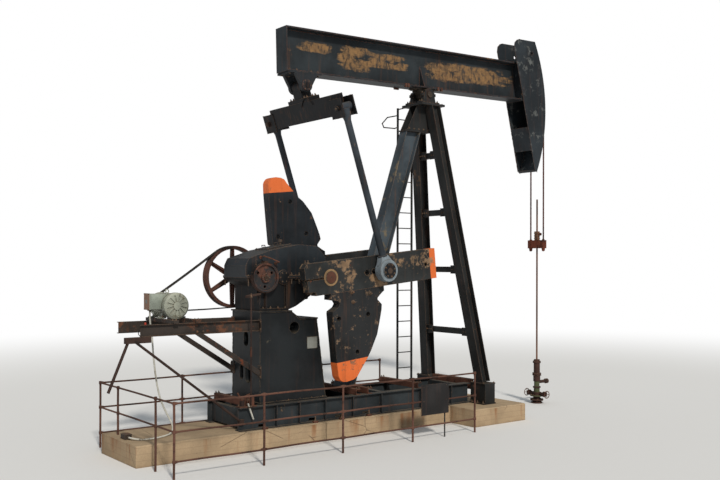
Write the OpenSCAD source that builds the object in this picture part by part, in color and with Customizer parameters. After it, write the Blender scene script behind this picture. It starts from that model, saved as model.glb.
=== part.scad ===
// Beam pumping unit: a walking beam rocked by a pair of counterweighted cranks.
// Millimetres. +X points to the well, +Y to the belt side, +Z up, z = 0 is the underside of the foundation.
// X is counted from the saddle bearing, on which the walking beam rocks.

/* [Linkage] */
// Saddle bearing axis above the top of the foundation
saddle_h = 5890; // [5600:10:6200]
// Slow shaft axis above the top of the foundation
shaft_h = 2436; // [2420:2:2480]
// Saddle bearing axis to slow shaft axis, along X
shaft_back = 2819; // [2780:1:2860]
// Saddle bearing axis to the well's centre line
well_reach = 3277; // [3240:1:3320]
// Saddle bearing axis to tail bearing axis, along the beam
tail_reach = 2821; // [2790:1:2850]
// Tail bearing axis below the saddle bearing axis, square to the beam
tail_drop = 90; // [60:1:120]
// Tail bearing axis to wrist pin axis
pitman_len = 3353; // [3320:1:3380]
// Slow shaft axis to wrist pin axis
throw = 1067; // [1040:1:1090]
// Angle of the crank above the +X direction at rest
crank_angle = 6; // [0:0.5:12]

/* [Foundation and skid] */
// Height of the concrete blocks
found_h = 320; // [250:10:400]
// Width of the long concrete blocks
found_w = 1320; // [1250:10:1400]
// Width of the concrete block under the post's front feet
post_block_w = 2560; // [2200:20:2800]
// Rear end of the foundation behind the saddle bearing
found_rear = 6100; // [5900:20:6300]
// Joint between the two long blocks behind the saddle bearing
found_joint = 2710; // [2400:10:3000]
// Rear face of the post's block ahead of the saddle bearing
post_block_rear = 150; // [100:10:250]
// Front face of the post's block ahead of the saddle bearing
post_block_front = 1500; // [1300:20:1700]
// Gap between neighbouring concrete blocks
block_gap = 12; // [6:1:30]
// Depth of the skid's side rails
skid_h = 376; // [340:2:400]
// Width over the skid's side rails
skid_w = 1160; // [1100:10:1200]
// Rear end of the skid behind the saddle bearing
skid_rear = 4330; // [4250:10:4450]
// Front end of the skid ahead of the saddle bearing
skid_front = 720; // [650:10:725]
// Flange width of a skid rail
rail_flange_w = 150; // [120:5:180]
// Flange thickness of a skid rail
rail_flange_t = 16; // [10:1:24]
// Web thickness of a skid rail
rail_web_t = 10; // [6:1:16]

/* [Pedestal and gearbox] */
// Width of the pedestal across the skid
pedestal_w = 900; // [800:10:1000]
// Thickness of the pedestal's cap and foot plates
pedestal_t = 25; // [16:1:32]
// Rear face of the pedestal behind the slow shaft
pedestal_rear = 1066; // [1020:2:1100]
// Front foot of the pedestal ahead of the slow shaft
pedestal_fore = 229; // [180:1:260]
// Top of the pedestal above the foundation
pedestal_h = 1890; // [1850:5:1920]
// Length of the pedestal's upper seat
pedestal_seat = 585; // [520:5:640]
// Drop from the seat to the lower deck
pedestal_step = 135; // [100:5:180]
// Radius of the round hole in each pedestal side
pedestal_hole_r = 95; // [60:5:110]
// Width of the gearbox case
case_w = 720; // [640:10:760]
// Radius of the slow shaft
slow_shaft_r = 105; // [90:1:120]
// Radius of the input shaft
input_shaft_r = 42; // [34:1:50]
// Input shaft axis behind the slow shaft axis
input_back = 981; // [960:1:1000]
// Thickness of the flange on each side of the gearbox split
split_t = 30; // [20:1:40]
// Reach of the split flange past the case's side
split_reach = 42; // [30:1:50]
// Radial clearance of a shaft in its housing
run_fit = 0.1; // [0.05:0.05:0.5]

/* [Crank and counterweight] */
// Face to face width between the inner faces of the two cranks
crank_inner_w = 1560; // [1520:5:1600]
// Thickness of a crank
crank_t = 150; // [130:5:165]
// Depth of a crank
crank_depth = 540; // [480:10:600]
// Slow shaft axis to the tip of the crank
crank_reach = 2335; // [2260:5:2400]
// Slow shaft axis to the clamped end of the crank
crank_tail = 510; // [440:10:560]
// Thickness of a counterweight
weight_t = 185; // [160:5:190]
// Reach of a counterweight past the crank's edge
weight_reach = 1505; // [1300:5:1520]
// Radius of a lifting hole in a counterweight
weight_hole_r = 42; // [30:1:60]

/* [Beam and horsehead] */
// Depth of the walking beam
beam_depth = 764; // [700:4:820]
// Flange width of the walking beam
beam_flange_w = 340; // [300:5:380]
// Flange thickness of the walking beam
beam_flange_t = 26; // [18:1:35]
// Web thickness of the walking beam
beam_web_t = 18; // [12:1:26]
// Underside of the beam above the saddle bearing axis
beam_lift = 131; // [125:1:170]
// Rear end of the beam behind the saddle bearing axis
beam_rear = 3190; // [3150:10:3250]
// Front end of the beam to the face of the horsehead's arc
head_depth = 672; // [620:2:690]
// Width over the horsehead's side plates
head_w = 490; // [470:10:540]
// Plate thickness of the horsehead
head_t = 14; // [8:1:20]

/* [Samson post] */
// Depth and flange width of a front leg
leg_size = 205; // [180:5:240]
// Depth of the rear leg
rear_leg_depth = 330; // [280:10:360]
// Half spread of the front legs at the feet
foot_spread = 780; // [720:10:840]
// Feet ahead of the saddle bearing axis
foot_reach = 860; // [820:10:920]
// Half spread of the front legs at the top
top_spread = 235; // [220:5:260]

/* [Pitmans and equalizer] */
// Centre line of a pitman from the middle plane
pitman_y = 1077; // [1070:1:1090]
// Outer radius of a pitman
pitman_r = 57; // [45:1:70]
// Depth of the equalizer beam
equalizer_depth = 350; // [300:5:370]
// Width of the equalizer beam
equalizer_w = 260; // [240:5:300]
// Tail bearing axis to the middle of the equalizer beam
equalizer_drop = 440; // [410:5:460]
// Radius of a wrist pin bearing housing
wrist_housing_r = 190; // [170:5:210]
// Thickness of a wrist pin bearing housing
wrist_housing_t = 150; // [130:5:170]
// Radius of a wrist pin
wrist_pin_r = 65; // [55:1:75]

/* [Well end] */
// Radius of a bridle cable
bridle_r = 17; // [10:1:20]
// Half spread of the bridle cables
bridle_spread = 176; // [150:2:200]
// Radius of the polished rod
rod_r = 18; // [14:1:24]
// Height of the carrier bar above the foundation's top
carrier_h = 3000; // [2900:10:3100]

/* [Drive] */
// Radius of the large sheave
sheave_r = 530; // [480:5:560]
// Width of the sheaves
sheave_w = 130; // [110:5:140]
// Radius of the motor sheave
motor_sheave_r = 120; // [100:5:150]
// Radius of the brake drum
drum_r = 236; // [210:2:250]
// Radius of the motor body
motor_r = 200; // [180:5:230]
// Motor shaft axis behind the saddle bearing axis
motor_back = 5190; // [5100:10:5250]
// Motor shaft axis above the top of the foundation
motor_h = 2000; // [1980:5:2050]
// Motor arms from the pedestal to their free end
arm_reach = 2045; // [1950:5:2150]
// Underside of the motor arms above the foundation
arm_h = 1570; // [1540:5:1600]
// Depth of a motor arm
arm_depth = 180; // [150:5:190]
// Middle line of a motor arm from the middle plane
arm_y = 440; // [400:5:470]
// Pedestal to the foot of a brace on its arm
brace_reach = 1085; // [1000:5:1200]
// Radius of the motor's conduit
conduit_r = 14; // [10:1:18]

/* [Fence] */
// Radius of the fence pipe
pipe_r = 17; // [12:1:24]
// Height of the fence above the ground
fence_h = 1060; // [950:10:1150]
// Front fence panel from the middle plane
fence_y = 1600; // [1500:10:1650]
// Back fence panel from the middle plane
fence_back_y = 1100; // [1060:10:1300]

/* [Hidden] */
$fn = 48;

black_paint = [0.07, 0.08, 0.09];
worn_black = [0.16, 0.15, 0.13];
rust = [0.34, 0.17, 0.12];
concrete = [0.68, 0.62, 0.52];
motor_green = [0.62, 0.68, 0.62];
bare_steel = [0.5, 0.5, 0.48];
conduit_grey = [0.75, 0.75, 0.72];

// Heights of the two fixed axes above the floor
saddle_z = found_h + saddle_h;
shaft_z = found_h + shaft_h;
skid_top = found_h + skid_h;

// The linkage at rest: the wrist pin follows from the crank, and the beam from the pitman's length
wrist_x = -shaft_back + throw * cos(crank_angle);
wrist_z = shaft_z + throw * sin(crank_angle);
tail_arm = norm([tail_reach, tail_drop]);
wrist_arm = norm([wrist_x, wrist_z - saddle_z]);
tail_opening = acos((tail_arm ^ 2 + wrist_arm ^ 2 - pitman_len ^ 2) / (2 * tail_arm * wrist_arm));
wrist_bearing_angle = atan2(wrist_z - saddle_z, wrist_x);
tail_angle = wrist_bearing_angle - tail_opening;
beam_angle = tail_angle + 180 - atan2(tail_drop, tail_reach);
tail_x = tail_arm * cos(tail_angle);
tail_z = saddle_z + tail_arm * sin(tail_angle);
pitman_lean = atan2(wrist_x - tail_x, tail_z - wrist_z);

input_x = -shaft_back - input_back;
head_arc_r = well_reach - bridle_r;
beam_front = head_arc_r - head_depth;

// Gap between a piece and the seat that carries it
seat_gap = 0.3;
crank_in = crank_inner_w / 2;
crank_out = crank_in + crank_t;

// Draws a flat outline of X and Z, from y0 to y0 + t
module upright(y0, t) {
    translate([0, y0 + t, 0]) rotate([90, 0, 0]) linear_extrude(t) children();
}

// Draws a flat outline of Y and Z, from x0 to x0 + t
module crosswise(x0, t) {
    translate([x0, 0, 0]) rotate([90, 0, 90]) linear_extrude(t) children();
}

// A cylinder along Y, from y0 to y1
module round_y(r, y0, y1) {
    translate([0, y0, 0]) rotate([-90, 0, 0]) cylinder(r = r, h = y1 - y0);
}

// Runs a flat section straight from point a to point b
module between(a, b) {
    v = b - a;
    translate(a) rotate([0, acos(v.z / norm(v)), atan2(v.y, v.x)]) linear_extrude(norm(v)) children();
}

// A straight pipe between two points, its section turned by some angle
module pipe(a, b, r, turn = 0) {
    between(a, b) rotate(turn) circle(r);
}

// A pipe through several points, with a ball at each bend
module bent_pipe(points, r, ball) {
    for (i = [0 : len(points) - 2]) pipe(points[i], points[i + 1], r);
    for (i = [1 : len(points) - 2]) translate(points[i]) sphere(ball);
}

// A channel's section in X and Z, its back at x = 0 and its flanges to +X
module channel_section(h, w, t) {
    polygon([[0, 0], [w, 0], [w, t], [t, t], [t, h - t], [w, h - t], [w, h], [0, h]]);
}

// An I section in the plane of X and Y, its web along X
module i_section(depth, width, flange_t, web_t) {
    square([depth, web_t], center = true);
    for (s = [-1, 1]) translate([s * (depth - flange_t) / 2, 0]) square([flange_t, width], center = true);
}

// Turns with the walking beam, about the saddle bearing
module on_beam() {
    translate([0, 0, saddle_z]) rotate([0, -beam_angle, 0]) children();
}

// Turns with the cranks, about the slow shaft
module on_crank() {
    translate([-shaft_back, 0, shaft_z]) rotate([0, -crank_angle, 0]) children();
}

// Leans with the pitmans, about the tail bearing
module on_hanger() {
    translate([tail_x, 0, tail_z]) rotate([0, -pitman_lean, 0]) children();
}

// Foundation
block_chamfer = 18;

// One concrete block from x0 to x1, with its top edges broken
module block(x0, x1, w) {
    color(concrete) crosswise(x0, x1 - x0)
        polygon([[-w / 2, 0], [w / 2, 0], [w / 2, found_h - block_chamfer], [w / 2 - block_chamfer, found_h],
                 [block_chamfer - w / 2, found_h], [-w / 2, found_h - block_chamfer]]);
}

module foundation_blocks() {
    block(-found_rear, -found_joint - block_gap, found_w);
    block(-found_joint, post_block_rear - block_gap, found_w);
    block(post_block_rear, post_block_front, post_block_w);
}

// Skid
rail_y = skid_w / 2 - rail_flange_w / 2;
cross_member_t = 12;
skid_cross_x = [-4250, -3885, -2640, -1880, -1250, 600];
skid_rib_x = [-3640, -3190, -2670, -2080, -1450, -520, 240];
rib_t = 14;
clamp_slot_x = [-3950, -2970, -2420, -1830];
clamp_slot = [130, 70];

module skid() {
    color(black_paint) difference() {
        union() {
            for (s = [-1, 1])
                translate([-skid_rear, s * rail_y, found_h + skid_h / 2])
                    rotate([0, 90, 0])
                        linear_extrude(skid_rear + skid_front)
                            i_section(skid_h, rail_flange_w, rail_flange_t, rail_web_t);
            for (x = skid_cross_x)
                upright(-rail_y, 2 * rail_y) translate([x, found_h + rail_flange_t + 20])
                    channel_section(skid_h - 2 * rail_flange_t - 40, 90, cross_member_t);
            for (x = skid_rib_x, s = [-1, 1])
                translate([x, s * rail_y - rail_flange_w / 2 + 4, found_h + rail_flange_t / 2])
                    cube([rib_t, rail_flange_w - 8, skid_h - rail_flange_t]);
        }
        for (x = clamp_slot_x)
            translate([x, -skid_w, found_h + rail_flange_t])
                cube([clamp_slot.x, 2 * skid_w, clamp_slot.y - rail_flange_t]);
    }
}

// Channels laid across the skid, and the tie between the post's feet
cross_channel = [100, 100, 9];
rear_seat_x = [-2010, -1750];
tie_h = 190;

module cross_channels() {
    color(rust) {
        for (x = [-4180, rear_seat_x[0], rear_seat_x[1], -590])
            upright(-skid_w / 2 + 20, skid_w - 40) translate([x, skid_top])
                channel_section(cross_channel.y, cross_channel.x, cross_channel.z);
        upright(foot_size.y / 2 - foot_spread, 2 * foot_spread - foot_size.y)
            translate([foot_reach - 60, found_h + 240]) channel_section(tie_h, 110, cross_channel.z);
    }
}

// Pedestal
pedestal_x0 = -shaft_back - pedestal_rear;
pedestal_x1 = -shaft_back + pedestal_fore;
pedestal_z1 = found_h + pedestal_h;
pedestal_low_z = pedestal_z1 - pedestal_step;
pedestal_seat_x = pedestal_x0 + pedestal_seat;
pedestal_deck_x = pedestal_seat_x + pedestal_step * 1.4;
pedestal_lip = 22;

// An upright slot with round ends, sunk into the pedestal's rear face
module rear_slot(y, z, r, rise, depth) {
    translate([pedestal_x0 - 1, y, z]) {
        rotate([0, 90, 0]) cylinder(r = r, h = depth);
        translate([0, -r, 0]) cube([depth, 2 * r, rise]);
        translate([0, 0, rise]) rotate([0, 90, 0]) cylinder(r = r, h = depth);
    }
}

module pedestal() {
    color(black_paint) difference() {
        union() {
            upright(-pedestal_w / 2, pedestal_w)
                polygon([[pedestal_x0, skid_top], [pedestal_x1, skid_top], [pedestal_x1 - 180, pedestal_low_z],
                         [pedestal_deck_x, pedestal_low_z], [pedestal_seat_x, pedestal_z1],
                         [pedestal_x0, pedestal_z1]]);
            translate([pedestal_x0 - pedestal_lip, -pedestal_w / 2 - pedestal_lip, pedestal_z1 - pedestal_t])
                cube([pedestal_seat + 2 * pedestal_lip, pedestal_w + 2 * pedestal_lip, pedestal_t]);
            translate([pedestal_deck_x, -pedestal_w / 2 - pedestal_lip, pedestal_low_z - pedestal_t])
                cube([pedestal_x1 - 170 - pedestal_deck_x, pedestal_w + 2 * pedestal_lip, pedestal_t]);
            translate([pedestal_x0 - pedestal_lip, -pedestal_w / 2 - pedestal_lip, skid_top])
                cube([pedestal_x1 - pedestal_x0 + 2 * pedestal_lip, pedestal_w + 2 * pedestal_lip, pedestal_t]);
            translate([pedestal_x1 - 380, -pedestal_w / 2 - 6, pedestal_low_z - 525]) cube([210, 6, 200]);
        }
        translate([pedestal_seat_x + 80, 0, pedestal_z1 - 290])
            round_y(pedestal_hole_r, -pedestal_w, pedestal_w);
        rear_slot(0, pedestal_z1 - 520, 75, 90, 320);
        rear_slot(-70, skid_top + 410, 100, 130, 320);
        rear_slot(150, skid_top + 410, 60, 130, 320);
    }
}

// Gearbox, its outlines drawn from the slow shaft in units of the distance between the two shafts
case_foot = [pedestal_x0 + 25, pedestal_seat_x - 5];
case_rear = -1.306 * input_back - shaft_back;
case_front = 0.284 * input_back - shaft_back;
slow_boss_r = 0.235 * input_back;
input_boss_r = 0.14 * input_back;
middle_boss_r = 0.125 * input_back;
middle_back = 0.58 * input_back;
slow_boss_reach = 70;
input_boss_reach = 30;
case_rib_t = 24;

module case_outline() {
    polygon([[case_rear, shaft_z], [case_front, shaft_z],
             [case_front - 0.04 * input_back, shaft_z - 0.17 * input_back],
             [case_foot[1] + 0.17 * input_back, pedestal_z1 + 0.06 * input_back], [case_foot[1], pedestal_z1],
             [case_foot[0], pedestal_z1], [case_foot[0] - 40, shaft_z - 0.14 * input_back],
             [case_rear + 0.04 * input_back, shaft_z - 0.06 * input_back]]);
}

module cover_outline() {
    polygon([[case_rear, shaft_z], [case_rear, shaft_z + 0.2 * input_back],
             [case_rear + 0.06 * input_back, shaft_z + 0.32 * input_back],
             [-shaft_back - 0.8 * input_back, shaft_z + 0.463 * input_back],
             [-shaft_back - 0.26 * input_back, shaft_z + 0.562 * input_back],
             [-shaft_back + 0.11 * input_back, shaft_z + 0.54 * input_back],
             [case_front + 10, shaft_z + 0.35 * input_back], [case_front + 10, shaft_z]]);
}

// The bearing housings of both shafts on both sides, as full rounds
module shaft_bosses() {
    translate([-shaft_back, 0, shaft_z])
        round_y(slow_boss_r, -case_w / 2 - slow_boss_reach, case_w / 2 + slow_boss_reach);
    translate([input_x, 0, shaft_z])
        round_y(input_boss_r, -case_w / 2 - input_boss_reach, case_w / 2 + input_boss_reach);
    translate([-shaft_back - middle_back, 0, shaft_z])
        round_y(middle_boss_r, -case_w / 2 - input_boss_reach, case_w / 2 + input_boss_reach);
}

module shaft_bores() {
    translate([-shaft_back, 0, shaft_z]) round_y(slow_shaft_r + run_fit, -case_w, case_w);
    translate([input_x, 0, shaft_z]) round_y(input_shaft_r + run_fit, -case_w, case_w);
}

module gearbox_case() {
    color(black_paint) difference() {
        union() {
            upright(-case_w / 2, case_w) case_outline();
            intersection() {
                upright(-case_w / 2 - split_reach, case_w + 2 * split_reach) case_outline();
                union() {
                    translate([case_rear, -case_w, shaft_z - split_t])
                        cube([case_front - case_rear, 2 * case_w, split_t]);
                    for (x = [input_x - 60, input_x + 60, case_foot[1] - 40,
                              -shaft_back - 110, -shaft_back + 110])
                        translate([x - case_rib_t / 2, -case_w, pedestal_z1])
                            cube([case_rib_t, 2 * case_w, shaft_z - pedestal_z1]);
                    translate([case_foot[0], -case_w, pedestal_z1])
                        cube([case_foot[1] - case_foot[0], 2 * case_w, 1.2 * split_t]);
                }
            }
            shaft_bosses();
        }
        translate([case_rear - 500, -case_w, shaft_z]) cube([3000, 2 * case_w, 1000]);
        shaft_bores();
    }
}

module gearbox_cover() {
    color(worn_black) difference() {
        union() {
            upright(-case_w / 2, case_w) cover_outline();
            translate([case_rear, -case_w / 2 - split_reach, shaft_z])
                cube([case_front - case_rear, case_w + 2 * split_reach, split_t]);
            translate([-shaft_back - 0.78 * input_back, -0.21 * input_back, shaft_z + 0.467 * input_back - 40])
                rotate([0, -atan2(0.099, 0.54), 0]) cube([0.48 * input_back, 0.42 * input_back, 60]);
            shaft_bosses();
        }
        translate([case_rear - 500, -case_w, shaft_z - 1000]) cube([3000, 2 * case_w, 1000]);
        shaft_bores();
    }
}

// Samson post
leg_top_x = 90;
leg_top_z = saddle_z - 380;
foot_h = 400;
foot_size = [260, 390];
head_z0 = saddle_z - 720;
head_z1 = saddle_z - 175;
head_plate_t = 40;
brace_h = 110;
brace_z = [1300, 2500, 3600, 4700];

module post_feet() {
    color(black_paint) for (s = [-1, 1]) translate([foot_reach, s * foot_spread, found_h]) {
        translate([-foot_size.x / 2 - 30, -foot_size.y / 2, 0]) cube([foot_size.x + 60, foot_size.y, 25]);
        translate([-foot_size.x / 2, -foot_size.y / 2, 0]) cube([foot_size.x, foot_size.y, foot_h - 20]);
        translate([-foot_size.x / 2 - 15, -foot_size.y / 2, foot_h - 20]) cube([foot_size.x + 30, foot_size.y, 20]);
    }
}

module front_leg(s) {
    a = [foot_reach, s * foot_spread, found_h + foot_h];
    b = [leg_top_x, s * top_spread, leg_top_z];
    v = b - a;
    lean_y = atan2(v.y, v.z);
    lean_x = atan2(v.x, norm([v.y, v.z]));
    translate(a) rotate([-lean_y, 0, 0]) rotate([0, lean_x, 0])
        linear_extrude(norm(v) + 300) i_section(leg_size, leg_size, 14, 10);
}

// A horizontal brace between the front legs, its web upright
module leg_brace(z) {
    t = (z - foot_h) / (leg_top_z - found_h - foot_h);
    x = foot_reach + (leg_top_x - foot_reach) * t;
    y = foot_spread + (top_spread - foot_spread) * t;
    upright(-y, 2 * y) translate([x - 50, found_h + z]) channel_section(brace_h, 100, 10);
}

module post_front_legs() {
    color(black_paint) difference() {
        union() {
            for (s = [-1, 1]) front_leg(s);
            for (z = brace_z) leg_brace(z);
        }
        translate([0, -2000, 0]) cube([2000, 4000, found_h + foot_h]);
        translate([-500, -500, head_z1 - head_plate_t]) cube([1000, 1000, 1000]);
    }
}

rear_top_x = -190;
rear_top_z = saddle_z - 370;
rear_foot_x = -1860;
rear_leg_w = 200;
rear_plate_t = 20;

module post_rear_leg() {
    foot_z = skid_top + cross_channel.y;
    a = [rear_foot_x, 0, foot_z];
    b = [rear_top_x, 0, rear_top_z];
    v = b - a;
    color(worn_black) {
        difference() {
            translate(a) rotate([0, atan2(v.x, v.z), 0]) translate([0, 0, -150])
                linear_extrude(norm(v)) i_section(rear_leg_depth, rear_leg_w, 16, 12);
            translate([rear_foot_x - 1000, -500, 0]) cube([2000, 1000, foot_z]);
            translate([-1000, -500, head_z0]) cube([2000, 1000, 1000]);
        }
        translate([rear_seat_x[0], -170, foot_z])
            cube([rear_seat_x[1] + cross_channel.x - rear_seat_x[0], 340, rear_plate_t]);
    }
}

crown_plate = [[-260, 310], [-300, 300]];
cheek_y = 105;
cheek_t = 16;
cheek_top_x = [-220, 100];
cheek_foot_x = [-480, 100];
joint_plate_t = 24;

// A plate over the front legs, with a tapered box under it that the rear leg is bolted to
module post_head() {
    z1 = head_z1 - head_plate_t;
    color(black_paint) {
        translate([crown_plate[0][0], crown_plate[1][0], z1])
            cube([crown_plate[0][1] - crown_plate[0][0], crown_plate[1][1] - crown_plate[1][0], head_plate_t]);
        for (y = [-cheek_y, cheek_y - cheek_t]) upright(y, cheek_t)
            polygon([[cheek_foot_x[0], head_z0], [cheek_foot_x[1], head_z0], [cheek_top_x[1], z1 + 5],
                     [cheek_top_x[0], z1 + 5]]);
        translate([cheek_top_x[1] - cheek_t, -cheek_y, head_z0]) cube([cheek_t, 2 * cheek_y, z1 - head_z0]);
        translate([cheek_foot_x[0] - 20, -cheek_y, head_z0])
            cube([cheek_foot_x[1] - cheek_foot_x[0] + 20, 2 * cheek_y, joint_plate_t]);
    }
}

saddle_shaft_r = 60;
saddle_block_y = 162;
saddle_block_w = 84;
saddle_cap_r = 125;
bearing_fit = 0.05;

module saddle_bearing_blocks() {
    y0 = saddle_block_y - saddle_block_w / 2;
    color(black_paint) for (m = [0, 1]) mirror([0, m, 0]) difference() {
        union() {
            translate([-230, y0 - 10, head_z1]) cube([460, saddle_block_w + 40, 36]);
            upright(y0, saddle_block_w)
                polygon([[-165, head_z1], [165, head_z1], [saddle_cap_r, saddle_z], [-saddle_cap_r, saddle_z]]);
            translate([-165, y0 + 8, saddle_z - 26]) cube([330, saddle_block_w - 16, 52]);
            translate([0, 0, saddle_z]) round_y(saddle_cap_r, y0, y0 + saddle_block_w);
        }
        translate([0, 0, saddle_z]) round_y(saddle_shaft_r + bearing_fit, 0, 400);
    }
}

// Ladder
ladder_x = [-170, 190];
ladder_y = 535;
ladder_rail_r = 22;
rung_pitch = 305;
rung_r = 10;
ladder_top = found_h + 5710;
hand_loop = [[0, 141], [262, 204], [392, 335], [350, 407], [80, 401], [0, 370]];

module ladder() {
    color(black_paint) {
        for (x = ladder_x) {
            translate([x, ladder_y, skid_top]) cylinder(r = ladder_rail_r, h = ladder_top - skid_top);
            translate([x - 20, crown_plate[1][1] + seat_gap, head_z1 - 34])
                cube([40, ladder_y - crown_plate[1][1] - seat_gap, 12]);
            translate([x - 20, skid_w / 2 - 40, skid_top]) cube([40, 40, 14]);
            translate([x - 14, ladder_y - 14, skid_top]) cube([28, skid_w / 2 - ladder_y, 12]);
        }
        for (z = [skid_top + 240 : rung_pitch : ladder_top - 100])
            pipe([ladder_x[0], ladder_y, z], [ladder_x[1], ladder_y, z], rung_r);
        bent_pipe([for (p = hand_loop) [ladder_x[0] - p.x, ladder_y, ladder_top - p.y]], 11, 12.5);
    }
}

// Motor and its mounting
arm_z0 = found_h + arm_h;
arm_z1 = arm_z0 + arm_depth;
arm_x0 = pedestal_x0 - arm_reach;
arm_flange_w = 62;
slide_h = 50;
rail_z1 = arm_z1 + slide_h;

module motor_arms() {
    color(worn_black) for (s = [-1, 1]) {
        translate([arm_x0, s * (arm_y - arm_flange_w / 2), arm_z0])
            mirror([0, s > 0 ? 0 : 1, 0])
                crosswise(0, arm_reach) channel_section(arm_depth, arm_flange_w, 10);
        translate([pedestal_x0 - 8, s * arm_y - 50, arm_z0 - 15]) cube([8, 100, arm_depth + 30]);
    }
}

module motor_arm_braces() {
    a = [pedestal_x0 - brace_reach, arm_z0];
    color(worn_black) for (s = [-1, 1]) {
        upright(s * arm_y - 30, 60)
            polygon([[a.x - 65, a.y], [a.x + 65, a.y], [pedestal_x0, arm_z0 - 650], [pedestal_x0, arm_z0 - 742]]);
        translate([pedestal_x0 - 10, s * arm_y - 55, arm_z0 - 770]) cube([10, 110, 210]);
    }
}

prop_r = 20;

module motor_props() {
    strut_foot = [-skid_rear + 45, -rail_y - rail_web_t / 2 - 12 - prop_r, found_h + 150];
    strut_top = [arm_x0 - 120, -arm_y, arm_z0 - 45];
    color(rust) {
        pipe(strut_top, strut_foot, prop_r, 40);
        translate([strut_foot.x - 40, strut_foot.y - prop_r - 6, found_h + 110])
            cube([80, -rail_y - rail_web_t / 2 - strut_foot.y + prop_r + 6, 80]);
        translate([strut_top.x - 130, -arm_y - 36, arm_z0 - 90]) cube([400, 72, 90]);
        pipe(strut_top + [-62, 4, 14], strut_top + [-408, -64, -738], prop_r + 2, 40);
    }
}

slide_x = [-200, 170];

module motor_slide_rails() {
    color(rust) for (x = slide_x) translate([-motor_back + x - 40, -520, arm_z1]) difference() {
        cube([80, 1040, slide_h]);
        translate([30, 60, 14]) cube([20, 920, slide_h]);
    }
}

motor_x = -motor_back;
motor_z = found_h + motor_h;
motor_y0 = -20;
motor_y1 = 500;
bell_t = 60;
sheave_y = 560;
fan_cover_t = 105;

module motor_body() {
    color(motor_green) translate([motor_x, 0, motor_z]) {
        round_y(motor_r - 22, motor_y0, motor_y1);
        round_y(motor_r, motor_y0, motor_y0 + bell_t);
        round_y(motor_r, motor_y1 - bell_t, motor_y1);
        for (a = [-60 : 12 : 240]) rotate([0, -a, 0])
            translate([motor_r - 40, motor_y0 + 20, -3]) cube([34, motor_y1 - motor_y0 - 40, 6]);
        for (y = [motor_y0 + 80, motor_y1 - 130], s = [-1, 1]) {
            translate([s * 120 - 45, y, rail_z1 - motor_z + 22]) cube([90, 60, motor_z - rail_z1 - 130]);
            translate([s * 165 - 65, y - 10, rail_z1 - motor_z]) cube([130, 80, 22]);
        }
        translate([0, (motor_y0 + motor_y1) / 2 - 8, motor_r - 24]) cylinder(r = 22, h = 20);
        translate([0, (motor_y0 + motor_y1) / 2, motor_r + 22]) rotate([90, 0, 0])
            rotate_extrude() translate([26, 0]) circle(8);
    }
}

module motor_fan_cover() {
    color(motor_green) translate([motor_x, 0, motor_z]) difference() {
        union() {
            round_y(motor_r + 8, motor_y0 - fan_cover_t + 25, motor_y0);
            translate([0, motor_y0 - fan_cover_t + 25, 0]) rotate([90, 0, 0])
                cylinder(r1 = motor_r + 8, r2 = motor_r - 22, h = 25);
        }
        for (a = [15 : 30 : 345]) rotate([0, a, 0])
            translate([62, motor_y0 - fan_cover_t - 1, -13]) cube([105, 18, 26]);
    }
}

box_x = [-5595, motor_x - 80];
box_y = [10, 185];
box_z = [found_h + 1950, found_h + 2190];

module motor_terminal_box() {
    color(motor_green) difference() {
        union() {
            translate([box_x[0], box_y[0], box_z[0]])
                cube([box_x[1] - box_x[0], box_y[1] - box_y[0], box_z[1] - box_z[0]]);
            translate([box_x[0] - 10, box_y[0] - 8, box_z[0] - 8])
                cube([28, box_y[1] - box_y[0] + 16, box_z[1] - box_z[0] + 16]);
        }
        translate([motor_x, 0, motor_z]) round_y(motor_r + 6, -100, 300);
    }
}

// The motor's conduit hangs from its terminal box and runs over the foundation to a junction box.
// The route is a smooth curve through these points.
conduit_start = [box_x[0] + 40, box_y[0] + 70, box_z[0]];
conduit_route = [conduit_start, conduit_start - [0, 0, 80], conduit_start - [0, 0, 130], [-5552, 68, 2050],
                 [-5546, 40, 1930],
                 [-5538, 22, 1760], [-5528, 12, 1570], [-5512, 6, 1400], [-5492, 2, 1240], [-5466, 0, 1080],
                 [-5430, 0, 930], [-5386, -2, 800], [-5338, -10, 690], [-5290, -30, 585], [-5256, -66, 490],
                 [-5262, -120, 410], [-5320, -170, 355], [-5410, -214, found_h + 18],
                 [-5510, -262, found_h + 16], [-5625, -305, found_h + 16], [-5745, -322, found_h + 16],
                 [-5855, -306, found_h + 19], [-5932, -250, found_h + 27], [-5970, -190, found_h + 34],
                 [-5980, -145, found_h + 35], [-5980, -120, found_h + 35], [-5980, -100, found_h + 35]];
conduit_steps = 2;
conduit_sides = 10;
junction_size = [110, 160, 70];

function smooth(p, i, t) =
    let(a = p[max(i - 1, 0)], b = p[i], c = p[i + 1], d = p[min(i + 2, len(p) - 1)])
    0.5 * (2 * b + (c - a) * t + (2 * a - 5 * b + 4 * c - d) * t ^ 2 + (3 * b - a - 3 * c + d) * t ^ 3);

function smooth_path(p, n) =
    concat([for (i = [0 : len(p) - 2], k = [0 : n - 1]) smooth(p, i, k / n)], [p[len(p) - 1]]);

function unit(v) = v / norm(v);

// Rings of points square to the path, their first point kept to one side so that they don't twist
function tube_rings(path, r, sides) =
    let(n = len(path))
    [for (i = [0 : n - 1])
        let(d = unit(path[min(i + 1, n - 1)] - path[max(i - 1, 0)]), u = unit(cross(d, [0.3, 0.9, 0.2])), w = cross(d, u))
        for (k = [0 : sides - 1]) path[i] + r * (cos(k * 360 / sides) * u + sin(k * 360 / sides) * w)];

module tube(path, r, sides) {
    n = len(path);
    polyhedron(tube_rings(path, r, sides),
        concat([[for (k = [0 : sides - 1]) k]], [[for (k = [sides - 1 : -1 : 0]) (n - 1) * sides + k]],
            [for (i = [0 : n - 2], k = [0 : sides - 1])
                [i * sides + k, (i + 1) * sides + k, (i + 1) * sides + (k + 1) % sides, i * sides + (k + 1) % sides]]));
}

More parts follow.
